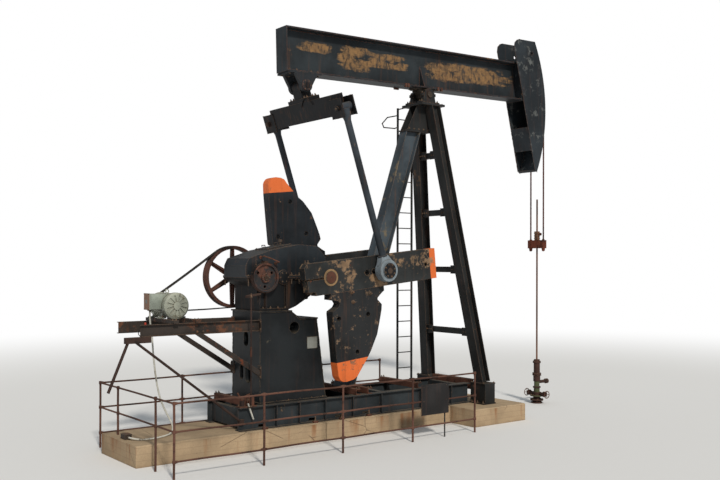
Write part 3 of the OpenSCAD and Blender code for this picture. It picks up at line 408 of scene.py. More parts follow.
@dataclass(frozen=True)
class Finish:
    """A painted or bare metal surface and its wear."""

    name: str
    colour: Colour
    patch: Colour = srgb(126, 99, 67)
    patch_amount: float = 0.0
    patch_scale: float = 2.2
    rust: Colour = srgb(104, 56, 36)
    rust_amount: float = 0.25
    streaks: float = 0.3
    dust: float = 0.12
    dust_colour: Colour = srgb(150, 134, 110)
    edge: float = 0.6
    edge_colour: Colour = srgb(112, 84, 64)
    rough: float = 0.55
    metal: float = 0.0
    bump: float = 0.003
    gloss: float = 0.2
    zones: tuple[Zone, ...] = ()
    blobs: tuple[Blob, ...] = ()

    def build(self) -> bpy.types.Material:
        """Builds the material.

        Returns:
            The material.
        """
        g = Graph(self.name)
        fine = g.noise(38, 4, 0.65)
        broad = g.noise(1.3, 6, 0.6, shift=3.0)
        edge, normal = g.edges(0.008)
        light = shade(self.colour, 1.35)
        colour = g.mix(g.span(broad, 0.36, 0.66), shade(self.colour, 0.62), light)
        colour = g.mix(g.times(g.span(fine, 0.45, 0.75), 0.25), colour, light)
        worn = g.plus(g.times(g.noise(self.patch_scale, 9, 0.68, shift=7.0), 0.8),
                      g.times(g.noise(self.patch_scale * 6, 6, 0.7, shift=9.0), 0.2))
        for zone in self.zones:
            colour = self.painted(g, colour, zone, worn, broad)
        for blob in self.blobs:
            colour = self.scraped(g, colour, blob)
        if self.patch_amount > 0:
            colour = self.patched(g, colour, worn)
        if self.streaks > 0:
            runs = g.noise(9, 5, 0.6, stretch=(1.6, 1.6, 0.1), shift=2.0)
            tone = tuple(0.25 * a + 0.45 * b for a, b in zip(self.patch, self.rust))
            colour = g.mix(g.times(g.span(runs, 0.52, 0.74), self.streaks), colour, tone)
        rusty = g.plus(g.times(g.noise(5.5, 8, 0.72, shift=12.0), 0.7), g.times(fine, 0.3))
        low = 0.68 - 0.2 * self.rust_amount
        spots = g.span(rusty, low, low + 0.05)
        rust = g.mix(g.span(g.noise(21, 4, 0.7, shift=1.0), 0.35, 0.65), shade(self.rust, 0.55), self.rust)
        colour = g.mix(spots, colour, rust)
        rubbed = g.span(g.noise(7, 6, 0.7, shift=4.0), 0.62 - 0.3 * self.edge, 0.7 - 0.2 * self.edge)
        colour = g.mix(g.times(g.times(edge, rubbed), 0.85), colour, self.edge_colour)
        up = g.times(g.span(g.facing((0, 0, 1)), 0.45, 0.95), g.span(broad, 0.25, 0.6))
        colour = g.mix(g.times(up, self.dust), colour, self.dust_colour)
        rough = g.plus(self.rough, g.times(g.plus(spots, up), 0.25))
        height = g.plus(g.times(spots, 0.7), g.times(fine, 0.3))
        metal = g.times(g.minus(1.0, spots), self.metal)
        return g.surface(colour, rough, metal, height, self.bump, normal, self.gloss)

    def painted(self, g: Graph, colour: object, zone: Zone, worn: object,
                broad: object) -> bpy.types.NodeSocket:
        """Lays a zone's chipped paint over the colour.

        Args:
            g: The material's graph.
            colour: The colour under it.
            zone: The painted zone.
            worn: The pattern of the chips.
            broad: The pattern of the fading.

        Returns:
            The new colour.
        """
        inside = g.span(g.along(zone.direction), zone.start - 0.004, zone.start + 0.004)
        chip = g.span(worn, 0.66 - 0.16 * zone.chips, 0.69 - 0.16 * zone.chips)
        faded = g.mix(g.span(broad, 0.3, 0.7), zone.colour,
                      tuple(min(1.0, c * 1.12 + 0.01) for c in zone.colour))
        return g.mix(g.times(inside, g.minus(1.0, chip)), colour, faded)

    def scraped(self, g: Graph, colour: object, blob: Blob) -> bpy.types.NodeSocket:
        """Lays a worn area with a streaky edge over the beam's side.

        Args:
            g: The material's graph.
            colour: The colour under it.
            blob: The worn area.

        Returns:
            The new colour.
        """
        across = g.math("DIVIDE", g.minus(g.along(BEAM_ALONG), blob.x + BEAM_SHIFT[0]), blob.half_x)
        upward = g.math("DIVIDE", g.minus(g.along(BEAM_UP), blob.z + BEAM_SHIFT[1]), blob.half_z)
        reach = g.plus(g.math("POWER", g.math("ABSOLUTE", across), 4.0),
                       g.math("POWER", g.math("ABSOLUTE", upward), 4.0))
        streaky = g.noise(4.5, 10, 0.74, stretch=(0.45, 1, 1.5), shift=21.0)
        reach = g.plus(reach, g.times(g.minus(streaky, 0.5), 8.0))
        side = g.span(g.math("ABSOLUTE", g.facing((0, 1, 0))), 0.6, 0.8)
        thin = g.span(g.noise(16, 8, 0.76, stretch=(1, 1, 0.45), shift=27.0), 0.36, 0.56)
        mask = g.times(g.times(g.span(reach, 1.15, 0.35), side), thin)
        tone = g.mix(g.span(g.noise(6, 6, 0.72, stretch=(1, 1, 1.6), shift=15.0), 0.4, 0.66), self.patch,
                     tuple(0.45 * a + 0.55 * b for a, b in zip(self.patch, self.colour)))
        return g.mix(mask, colour, tone)

    def patched(self, g: Graph, colour: object, worn: object) -> bpy.types.NodeSocket:
        """Lets the under coat show in patches.

        Args:
            g: The material's graph.
            colour: The colour over it.
            worn: The pattern of the patches.

        Returns:
            The new colour.
        """
        cut = 0.64 - 0.22 * self.patch_amount
        tone = g.mix(g.span(g.noise(11, 5, 0.7, shift=5.0), 0.35, 0.65), shade(self.patch, 0.6),
                     shade(self.patch, 1.15))
        return g.mix(g.times(g.span(worn, cut, cut + 0.05), 0.88), colour, tone)


@dataclass(frozen=True)
class Concrete:
    """Weathered concrete with rust runs under the skid, darker and browner towards the bottom."""

    name: str
    colour: Colour = srgb(164, 142, 114)
    top: float = BLOCK_TOP

    def build(self) -> bpy.types.Material:
        """Builds the material.

        Returns:
            The material.
        """
        g = Graph(self.name)
        broad, fine = g.noise(1.1, 7, 0.6), g.noise(34, 6, 0.7, shift=2.0)
        edge, normal = g.edges(0.02)
        colour = g.mix(g.span(broad, 0.35, 0.65), shade(self.colour, 0.78), shade(self.colour, 1.16))
        colour = g.mix(g.times(g.span(fine, 0.4, 0.7), 0.3), colour, shade(self.colour, 0.66))
        height = g.along((0, 0, 1))
        side = g.span(g.facing((0, 0, 1)), 0.6, 0.2)
        runs = g.noise(3.4, 6, 0.62, stretch=(1.5, 1.5, 0.12), shift=8.0)
        fade = g.span(height, -0.1, self.top)
        mask = g.times(g.times(g.span(runs, 0.5, 0.68), fade), side)
        colour = g.mix(g.times(mask, 0.85), colour, srgb(132, 84, 48))
        # Darker and browner towards the bottom: a noisy band within about 10 cm of the floor, at up to half
        # strength.
        darker_foot = g.span(g.plus(height, g.times(g.noise(6, 5, 0.6, shift=6.0), 0.12)), 0.11, 0.03)
        colour = g.mix(g.times(darker_foot, 0.5), colour, srgb(126, 104, 80))
        boards = g.new("ShaderNodeTexWave", wave_type="BANDS", bands_direction="Z")
        g.put(boards.inputs["Vector"], g.coord)
        g.put(boards.inputs["Scale"], 3.2)
        g.put(boards.inputs["Distortion"], 0.6)
        line = g.span(boards.outputs["Fac"], 0.08, 0.0)
        colour = g.mix(g.times(g.times(line, side), 0.25), colour, srgb(120, 102, 82))
        cells = g.new("ShaderNodeTexVoronoi", feature="DISTANCE_TO_EDGE")
        g.put(cells.inputs["Vector"], g.coord)
        g.put(cells.inputs["Scale"], 0.8)
        crack = g.times(g.span(cells.outputs["Distance"], 0.006, 0.0), g.span(broad, 0.5, 0.55))
        colour = g.mix(g.times(crack, 0.7), colour, srgb(70, 58, 46))
        pits = g.span(g.noise(70, 2, 0.5, shift=1.5), 0.68, 0.74)
        colour = g.mix(g.times(pits, 0.5), colour, srgb(96, 82, 66))
        colour = g.mix(g.times(edge, g.times(g.span(g.noise(9, 4, 0.7), 0.45, 0.6), 0.5)), colour,
                       srgb(196, 176, 146))
        bump = g.minus(g.times(fine, 0.5), g.plus(g.times(pits, 0.4), crack))
        return g.surface(colour, 0.92, 0.0, bump, 0.006, normal)


ORANGE = srgb(206, 100, 46)


def crank_way(sign: float = 1.0) -> Point:
    """Gives the direction square to the crank.

    Args:
        sign: 1 for upwards, -1 for downwards.

    Returns:
        The direction.
    """
    return tuple(ON_CRANK.way(0, 0, sign))


def crank_start(sign: float, distance: float) -> float:
    """Gives a distance from the slow shaft square to the crank as one from the origin.

    Args:
        sign: 1 for upwards, -1 for downwards.
        distance: The distance from the slow shaft.

    Returns:
        The distance from the origin along the same direction.
    """
    return Vector(crank_way(sign)).dot(Vector(LINK.shaft)) + distance


CRANK_ALONG = tuple(ON_CRANK.way(1, 0, 0))
BEAM_ALONG, BEAM_UP = tuple(ON_BEAM.way(1, 0, 0)), tuple(ON_BEAM.way(0, 0, 1))
BEAM_SHIFT = (Vector(BEAM_ALONG).dot(Vector(LINK.saddle)), Vector(BEAM_UP).dot(Vector(LINK.saddle)))
TIP = Zone(CRANK_ALONG, Vector(CRANK_ALONG).dot(Vector(LINK.shaft)) + 2.2, ORANGE, 0.0)


class Look(Enum):
    """Every finish of the object."""

    CONCRETE = Concrete("concrete")
    BLACK = Finish("black_paint", srgb(34, 37, 40), patch_amount=0.06, rust_amount=0.14, streaks=0.15)
    SKID = Finish("skid_paint", srgb(42, 47, 50), patch_amount=0.1, rust_amount=0.2, streaks=0.25, dust=0.25)
    PEDESTAL = Finish("pedestal_paint", srgb(27, 30, 32), patch=srgb(84, 78, 66), patch_amount=0.04,
                      rust_amount=0.03, streaks=0.18, dust=0.2, edge=0.9, edge_colour=srgb(120, 100, 78),
                      rough=0.42)
    CASE = Finish("gearbox_paint", srgb(20, 22, 24), patch_amount=0.06, rust_amount=0.12, dust=0.45, edge=0.8)
    COVER = Finish("gearbox_cover_paint", srgb(31, 36, 40), patch=srgb(128, 104, 82), patch_amount=0.12,
                   rust_amount=0.2, dust=0.1, edge=1.0, edge_colour=srgb(140, 106, 78), rough=0.4, gloss=0.3)
    POST = Finish("post_paint", srgb(36, 37, 37), patch=srgb(104, 78, 58), patch_amount=0.16,
                  rust_amount=0.16, edge=0.95)
    REAR_LEG = Finish("rear_leg_paint", srgb(62, 70, 76), patch=srgb(116, 104, 84), patch_amount=0.34,
                      rust_amount=0.3, streaks=0.4, edge=0.9, edge_colour=srgb(140, 110, 86))
    BEAM = Finish("beam_paint", srgb(38, 43, 46), patch=srgb(134, 102, 66), patch_amount=0.12,
                  patch_scale=2.6, rust_amount=0.3, streaks=0.3, edge=0.95, edge_colour=srgb(134, 80, 54),
                  blobs=(Blob(-2.5, 0.63, 0.36, 0.09), Blob(-1.62, 0.52, 0.36, 0.22),
                         Blob(-0.95, 0.56, 0.56, 0.13), Blob(1.25, 0.53, 1.15, 0.19)))
    HEAD = Finish("horsehead_paint", srgb(36, 41, 45), patch=srgb(92, 94, 92), patch_amount=0.4,
                  patch_scale=5.5, rust_amount=0.26, streaks=0.35, edge=0.95, edge_colour=srgb(120, 88, 70))
    CRANK = Finish("crank_paint", srgb(40, 42, 42), patch=srgb(136, 110, 84), patch_amount=0.5,
                   patch_scale=2.6, rust_amount=0.4, streaks=0.15, edge=1.0, edge_colour=srgb(150, 112, 80),
                   zones=(TIP,))
    WEIGHT_NEAR = Finish("near_weight_paint", srgb(32, 33, 34), patch=srgb(118, 96, 76), patch_amount=0.34,
                         patch_scale=7.0, rust_amount=0.22, edge=0.7,
                         zones=(Zone(crank_way(-1), crank_start(-1, 1.43), ORANGE, -0.2),))
    WEIGHT_FAR = Finish("far_weight_paint", srgb(30, 34, 38), patch=srgb(120, 92, 70), patch_amount=0.08,
                        patch_scale=6.0, rust_amount=0.18, edge=0.7,
                        zones=(Zone(crank_way(1), crank_start(1, 1.5), ORANGE, -0.2),))
    HANGER = Finish("equalizer_paint", srgb(18, 19, 21), patch_amount=0.05, rust_amount=0.14, edge=0.7)
    PITMAN = Finish("pitman_paint", srgb(46, 52, 58), patch=srgb(122, 98, 74), patch_amount=0.3,
                    patch_scale=3.4, rust_amount=0.3, streaks=0.4, edge=0.8)
    WRIST = Finish("wrist_paint", srgb(124, 134, 140), patch=srgb(72, 70, 68), patch_amount=0.4,
                   patch_scale=6.0, rust_amount=0.25, edge=0.7, edge_colour=srgb(96, 80, 66))
    STEEL = Finish("bare_steel", srgb(78, 70, 62), patch=srgb(66, 48, 38), patch_amount=0.3, rust_amount=0.35,
                   metal=0.5, rough=0.55, edge=0.4, edge_colour=srgb(140, 130, 116))
    BOLT = Finish("bolt_steel", srgb(66, 56, 48), patch=srgb(110, 76, 54), patch_amount=0.5, patch_scale=9,
                  rust_amount=0.4, edge=0.9, edge_colour=srgb(130, 106, 84), rough=0.6)
    RUST = Finish("rusty_steel", srgb(90, 58, 46), patch=srgb(64, 42, 34), patch_amount=0.5, patch_scale=4,
                  rust=srgb(120, 72, 50), rust_amount=0.45, streaks=0.3, rough=0.8, edge=0.5, bump=0.004)
    DARK_RUST = Finish("dark_rusty_steel", srgb(54, 40, 35), patch=srgb(36, 30, 28), patch_amount=0.4,
                       patch_scale=4, rust=srgb(96, 58, 44), rust_amount=0.35, rough=0.8, edge=0.5)
    FENCE = Finish("fence_rust", srgb(88, 60, 50), patch=srgb(58, 42, 37), patch_amount=0.5, patch_scale=3,
                   rust=srgb(116, 76, 58), rust_amount=0.45, streaks=0.0, rough=0.82, edge=0.2, bump=0.002)
    DRUM = Finish("drum_paint", srgb(38, 38, 39), patch=srgb(92, 60, 48), patch_amount=0.35, rust_amount=0.36,
                  edge=0.9, edge_colour=srgb(130, 78, 58))
    SHEAVE = Finish("sheave_rust", srgb(72, 48, 41), patch=srgb(34, 30, 28), patch_amount=0.6,
                    patch_scale=3.5, rust_amount=0.3, edge=0.6, edge_colour=srgb(120, 74, 56))
    MOTOR = Finish("motor_paint", srgb(150, 153, 139), patch=srgb(104, 98, 78), patch_amount=0.2,
                   rust_amount=0.1, streaks=0.25, dust=0.3, edge=0.5, rough=0.5, gloss=0.35)
    BOX = Finish("terminal_box_paint", srgb(140, 147, 136), patch=srgb(104, 98, 78), patch_amount=0.2,
                 rust_amount=0.15, streaks=0.3, dust=0.3, edge=0.5, rough=0.5, gloss=0.35,
                 zones=(Zone((-1.0, 0.0, 0.0), 5.598, srgb(116, 84, 62), 0.5),))
    ARM = Finish("arm_paint", srgb(50, 44, 40), patch=srgb(98, 64, 46), patch_amount=0.45, rust_amount=0.5,
                 streaks=0.2, edge=0.9)
    RUBBER = Finish("belt_rubber", srgb(26, 25, 25), patch=srgb(56, 50, 46), patch_amount=0.15,
                    rust_amount=0.0, edge=0.3, edge_colour=srgb(60, 56, 52), rough=0.8)
    OCHRE = Finish("ochre_primer", srgb(140, 112, 80), patch=srgb(96, 70, 52), patch_amount=0.3,
                   rust_amount=0.25)
    ROD = Finish("rod_rust", srgb(104, 72, 54), patch=srgb(62, 44, 36), patch_amount=0.4, patch_scale=5,
                 rust_amount=0.4, rough=0.6)
    CARRIER = Finish("carrier_rust", srgb(98, 50, 34), patch=srgb(58, 34, 26), patch_amount=0.35,
                     rust_amount=0.4, rough=0.8)
    ROPE = Finish("wire_rope", srgb(84, 52, 46), patch=srgb(58, 40, 36), patch_amount=0.4, rust_amount=0.3,
                  rough=0.7, edge=0.0)
    WELLHEAD = Finish("wellhead_rust", srgb(62, 42, 36), patch=srgb(40, 32, 29), patch_amount=0.4,
                      rust_amount=0.35, rough=0.75)
    GREEN = Finish("wellhead_green", srgb(78, 84, 58), patch=srgb(104, 98, 74), patch_amount=0.4,
                   rust_amount=0.3)
    PLASTIC = Finish("conduit_plastic", srgb(186, 184, 174), patch=srgb(120, 110, 94), patch_amount=0.25,
                     rust_amount=0.0, streaks=0.0, edge=0.0, rough=0.6, bump=0.001)
    PLATE = Finish("bare_plate", srgb(134, 136, 130), patch=srgb(110, 92, 74), patch_amount=0.3,
                   rust_amount=0.15, metal=0.4)
    BOARD = Finish("board_paint", srgb(40, 38, 38), patch=srgb(90, 84, 78), patch_amount=0.1, rust_amount=0.1)
    RED = Finish("red_paint", srgb(160, 52, 40), patch_amount=0.2, rust_amount=0.3)

    def material(self) -> bpy.types.Material:
        """Gives the built material, once for each finish.

        Returns:
            The material.
        """
        return bpy.data.materials.get(WORN + self.value.name) or self.value.build()


# Shapes


def basis(axis: Vector) -> Matrix:
    """Gives a right-handed set of axes whose third is the given one.

    Args:
        axis: The third axis.

    Returns:
        A matrix whose columns are the axes.
    """
    w = Vector(axis).normalized()
    u = Vector((0, 0, 1)).cross(w)
    u = Vector((1, 0, 0)) if u.length < 1e-4 else u.normalized()
    return Matrix((u, w.cross(u), w)).transposed()


@dataclass
class Shape:
    """Collects the faces of one piece."""

    verts: list[Vector] = field(default_factory=list)
    faces: list[tuple[int, ...]] = field(default_factory=list)
    looks: list[Look] = field(default_factory=list)

    def add(self, verts: list[Vector], faces: list[tuple[int, ...]], look: Look) -> None:
        """Adds a set of faces.

        Args:
            verts: Their points.
            faces: Their corners, as numbers of points.
            look: Their finish.
        """
        start = len(self.verts)
        self.verts += verts
        self.faces += [tuple(start + i for i in f) for f in faces]
        self.looks += [look] * len(faces)

    def rings(self, rings: list[list[Vector]], look: Look, closed: bool = False, capped: bool = True) -> None:
        """Adds a skin over rings of points.

        Args:
            rings: The rings, all of the same length.
            look: Its finish.
            closed: Whether the last ring joins the first.
            capped: Whether the ends are closed.
        """
        n, m = len(rings[0]), len(rings)
        faces = [(i * n + k, i * n + (k + 1) % n, (i + 1) % m * n + (k + 1) % n, (i + 1) % m * n + k)
                 for i in range(m if closed else m - 1) for k in range(n)]
        if capped and not closed:
            faces += [tuple(range(n - 1, -1, -1)), tuple((m - 1) * n + k for k in range(n))]
        self.add([p for r in rings for p in r], faces, look)

    def box(self, low: Point, high: Point, look: Look, axes: Axes = ON_FLOOR) -> None:
        """Adds a box.

        Args:
            low: Its lowest corner.
            high: Its highest corner.
            look: Its finish.
            axes: The axes that the corners are given in.
        """
        ring = [(low[0], low[1]), (high[0], low[1]), (high[0], high[1]), (low[0], high[1])]
        self.rings([[axes.place(x, y, z) for x, y in ring] for z in (low[2], high[2])], look)

    def lathe(self, base: Vector, axis: Vector, profile: list[tuple[float, float]], look: Look,
              sides: int = 20, closed: bool = False) -> None:
        """Adds a turned shape.

        Args:
            base: The point that heights are counted from.
            axis: Its axis.
            profile: Radii and heights along the axis.
            look: Its finish.
            sides: Its number of sides.
            closed: Whether the profile is a closed ring.
        """
        m = basis(axis)
        turn = [(math.cos(2 * math.pi * k / sides), math.sin(2 * math.pi * k / sides)) for k in range(sides)]
        self.rings([[Vector(base) + m @ Vector((r * c, r * s, h)) for c, s in turn] for r, h in profile],
                   look, closed)

    def tube(self, path: list[Vector], radius: float, look: Look, sides: int = 8, rough: float = 0.0,
             closed: bool = False) -> None:
        """Adds a round bar along a path.

        Args:
            path: Its points.
            radius: Its radius.
            look: Its finish.
            sides: Its number of sides.
            rough: How much its radius varies, as a share.
            closed: Whether its end joins its start.
        """
        path = [Vector(p) for p in path]
        n, rings, u = len(path), [], None
        for i, p in enumerate(path):
            ahead = path[(i + 1) % n] if closed else path[min(i + 1, n - 1)]
            behind = path[i - 1] if closed or i else path[0]
            w = (ahead - behind).normalized()
            u = basis(w).col[0] if u is None else (u - w * u.dot(w)).normalized()
            v = w.cross(u)
            r = radius * (1 + rough * (2 * noise.noise(p * 23) if rough else 0))
            rings.append([p + r * (math.cos(a) * u + math.sin(a) * v)
                          for a in (2 * math.pi * k / sides for k in range(sides))])
        self.rings(rings, look, closed)

    def bolt(self, at: Vector, axis: Vector, size: float = 0.018, look: Look = Look.BOLT,
             stud: float = 0.0) -> None:
        """Adds a washer and a hexagon head, with the end of a stud if it is a nut.

        Args:
            at: Where its washer sits.
            axis: The way it points.
            size: The radius of its head.
            look: Its finish.
            stud: How far a stud stands out of it.
        """
        self.lathe(at, axis, [(size * 1.35, -0.002), (size * 1.35, size * 0.2)], look, 12)
        self.lathe(at, axis, [(size, size * 0.2), (size, size * 0.85), (size * 0.86, size)], look, 6)
        if stud:
            self.lathe(at, axis, [(size * 0.55, size * 0.9), (size * 0.55, size + stud)], look, 8)

    def bolts(self, a: Vector, b: Vector, count: int, axis: Vector, size: float = 0.018,
              look: Look = Look.BOLT, stud: float = 0.0) -> None:
        """Adds a row of bolts.

        Args:
            a: The first bolt.
            b: The last bolt.
            count: How many.
            axis: The way they point.
            size: The radius of their heads.
            look: Their finish.
            stud: How far a stud stands out of each.
        """
        for i in range(count):
            self.bolt(Vector(a).lerp(Vector(b), i / max(count - 1, 1)), axis, size, look, stud)

    def bolt_ring(self, centre: Vector, axis: Vector, radius: float, count: int, size: float = 0.018,
                  look: Look = Look.BOLT, start: float = 0.0) -> None:
        """Adds a ring of bolts.

        Args:
            centre: The middle of the ring.
            axis: The way they point.
            radius: The radius of the ring.
            count: How many.
            size: The radius of their heads.
            look: Their finish.
            start: The angle of the first one.
        """
        m = basis(axis)
        for i in range(count):
            a = start + 2 * math.pi * i / count
            self.bolt(Vector(centre) + m @ Vector((radius * math.cos(a), radius * math.sin(a), 0)), axis,
                      size, look)

    def bead(self, a: Vector, b: Vector, look: Look, size: float = 0.007) -> None:
        """Adds a weld bead.

        Args:
            a: Its start.
            b: Its end.
            look: Its finish.
            size: Its radius.
        """
        a, b = Vector(a), Vector(b)
        count = max(2, int((b - a).length / 0.03))
        self.tube([a.lerp(b, i / count) for i in range(count + 1)], size, look, 6, 0.5)

    def make(self, name: str, body: Body, slot: str = "") -> bpy.types.Object:
        """Builds the piece and lets it ride on a body.

        Args:
            name: Its name.
            body: The body that it rides on.
            slot: Not used.

        Returns:
            The object.
        """
        mesh = bpy.data.meshes.new(name)
        mesh.from_pydata(self.verts, [], self.faces)
        order = list(dict.fromkeys(self.looks))
        for look in order:
            mesh.materials.append(look.material())
        mesh.polygons.foreach_set("material_index", [order.index(k) for k in self.looks])
        mesh.polygons.foreach_set("use_smooth", [True] * len(self.faces))
        mesh.set_sharp_from_angle(angle=math.radians(35))
        mesh.update()
        made = bpy.data.objects.new(name, mesh)
        bpy.context.scene.collection.objects.link(made)
        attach(made, body.value)
        LOG.info("%s: %d faces on %s", name, len(self.faces), body.value)
        return made


# Assemblies

UP, DOWN = Vector((0, 0, 1)), Vector((0, 0, -1))
NEAR, FAR = Vector((0, -1, 0)), Vector((0, 1, 0))
BACK, WELL = Vector((-1, 0, 0)), Vector((1, 0, 0))
SIDES = (-1, 1)


def side_axis(side: int) -> Vector:
    """Gives the outward direction on one side.

    Args:
        side: -1 for the near side, 1 for the far side.

    Returns:
        The direction.
    """
    return NEAR if side < 0 else FAR


def corners(a: Vector, b: Vector) -> tuple[Point, Point]:
    """Gives the low and high corner of the box between two points.

    Args:
        a: One point.
        b: The other.

    Returns:
        The corners.
    """
    return tuple(map(min, a, b)), tuple(map(max, a, b))


class Assembly:
    """A group of CAD nodes, their finishes, and the pieces fitted to them."""

    looks: dict[str, Look] = {}

    def dress(self, nodes: dict[str, bpy.types.Object]) -> None:
        """Gives the CAD nodes their finishes.

        Args:
            nodes: The frame's nodes by name.
        """
        for name, look in self.looks.items():
            mesh = nodes[name].data
            mesh.materials.clear()
            mesh.materials.append(look.material())

    def fit(self) -> None:
        """Builds the pieces that are fitted to the nodes."""

    def build(self, nodes: dict[str, bpy.types.Object]) -> None:
        """Dresses the nodes and fits the pieces.

        Args:
            nodes: The frame's nodes by name.
        """
        self.dress(nodes)
        self.fit()


@dataclass
class Conduit(Assembly):
    """The motor's hanging conduit, its glands and the junction box."""

    radius: float = 0.014
    steps: int = 4
    route: tuple[Point, ...] = (
        (-5.555, 0.080, 2.270), (-5.555, 0.080, 2.190), (-5.555, 0.080, 2.140), (-5.552, 0.068, 2.050),
        (-5.546, 0.040, 1.930), (-5.538, 0.022, 1.760), (-5.528, 0.012, 1.570), (-5.512, 0.006, 1.400),
        (-5.492, 0.002, 1.240), (-5.466, 0.000, 1.080), (-5.430, 0.000, 0.930), (-5.386, -0.002, 0.800),
        (-5.338, -0.010, 0.690), (-5.290, -0.030, 0.585), (-5.256, -0.066, 0.490), (-5.262, -0.120, 0.410),
        (-5.320, -0.170, 0.355), (-5.410, -0.214, 0.338), (-5.510, -0.262, 0.336), (-5.625, -0.305, 0.336),
        (-5.745, -0.322, 0.336), (-5.855, -0.306, 0.339), (-5.932, -0.250, 0.347), (-5.970, -0.190, 0.354),
        (-5.980, -0.145, 0.355), (-5.980, -0.120, 0.355), (-5.980, -0.100, 0.355))
    looks = {"motor_conduit": Look.PLASTIC, "junction_box": Look.ARM}

    def path(self) -> list[Vector]:
        """Gives the conduit's centre line.

        Returns:
            Its points, a few between each two of the route.
        """
        pts, out = [Vector(p) for p in self.route], []
        for i in range(len(pts) - 1):
            a, b, c, d = pts[max(i - 1, 0)], pts[i], pts[i + 1], pts[min(i + 2, len(pts) - 1)]
            for k in range(self.steps):
                t = k / self.steps
                out.append(0.5 * (2 * b + (c - a) * t + (2 * a - 5 * b + 4 * c - d) * t ** 2
                                  + (3 * b - a - 3 * c + d) * t ** 3))
        return out + [pts[-1]]

    def fit(self) -> None:
        """Builds the conduit as a finer tube, with a gland at each end."""
        path = self.path()
        tube = Shape()
        tube.tube(path, self.radius, Look.PLASTIC, 14)
        made = tube.make("conduit_tube", Body.FRAME, "conduit")
        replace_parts(made, "motor_conduit")
        length = sum((b - a).length for a, b in zip(path, path[1:]))
        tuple(self.route[0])
        [tuple(p) for p in path]
        glands = Shape()
        for at, way in ((path[0], DOWN), (path[-1], NEAR)):
            glands.lathe(at, way, [(0.016, 0), (0.024, 0), (0.024, 0.016), (0.021, 0.02), (0.016, 0.02)],
                         Look.STEEL, 16, True)
            glands.lathe(at, way, [(0.016, 0.02), (0.02, 0.02), (0.019, 0.034), (0.016, 0.036)], Look.BOLT, 6,
                         True)
        glands.make("conduit_glands", Body.FRAME)


@dataclass
class Foundation(Assembly):
    """Concrete blocks, skid and what holds the skid down."""

    block_top: float = BLOCK_TOP
    skid_top: float = SKID_TOP
    clamp_x: tuple[float, ...] = (-3.885, -2.905, -2.355, -1.765)
    looks = {"foundation_blocks": Look.CONCRETE, "skid": Look.SKID, "cross_channels": Look.RUST}

    def fit(self) -> None:
        """Builds the hold-down clamps, the channels' bolts and the skid's welds."""
        clamps = Shape()
        for s in SIDES:
            for x in self.clamp_x:
                y, top = s * 0.585, self.block_top + 0.032
                clamps.box((x - 0.045, min(y, y + s * 0.05), self.block_top),
                           (x + 0.045, max(y, y + s * 0.05), top), Look.RUST)
                clamps.lathe(Vector((x, y + s * 0.022, top)), UP, [(0.012, 0), (0.012, 0.075)], Look.BOLT, 8)
                clamps.bolt(Vector((x, y + s * 0.022, top + 0.001)), UP, 0.02)
            for x in (-4.13, -1.96, -1.70, -0.54):
                for dx in (-0.026, 0.026):
                    clamps.bolt(Vector((x + dx, s * 0.535, 0.805)), UP, 0.013, Look.BOLT, 0.012)
        clamps.make("hold_downs", Body.FRAME)
        scrap, deck = Shape(), self.skid_top + 0.018
        scrap.box((-4.32, -0.575, self.skid_top), (-4.02, -0.44, deck), Look.RUST)
        scrap.box((-4.15, -0.565, deck), (-4.06, -0.48, 0.85), Look.RUST)
        scrap.box((-4.29, -0.57, deck), (-4.24, -0.5, 0.8), Look.DARK_RUST)
        scrap.tube([Vector((-4.27, -0.54, 0.8)), Vector((-4.33, -0.5, 0.93))], 0.014, Look.RUST, 8)
        scrap.tube([Vector((-4.2, -0.5, deck)), Vector((-4.19, -0.53, 0.88)), Vector((-4.12, -0.54, 0.9))],
                   0.012, Look.RUST, 8)
        scrap.tube([Vector((-4.19, -0.592, 0.76)), Vector((-4.09, -0.592, 0.5))], 0.014, Look.PLASTIC, 10)
        for x in (-4.28, -4.1):
            scrap.bolt(Vector((x, -0.46, deck)), UP, 0.014, Look.BOLT, 0.015)
        scrap.make("skid_rear_bracket", Body.FRAME)
        welds = Shape()
        for s in SIDES:
            for x in (-3.64, -3.19, -2.67, -2.08, -1.45, -0.52, 0.24):
                for dx in (0, 0.014):
                    welds.bead(Vector((x + dx, s * 0.511, 0.34)), Vector((x + dx, s * 0.511, 0.678)),
                               Look.SKID, 0.006)
        welds.make("skid_welds", Body.FRAME)


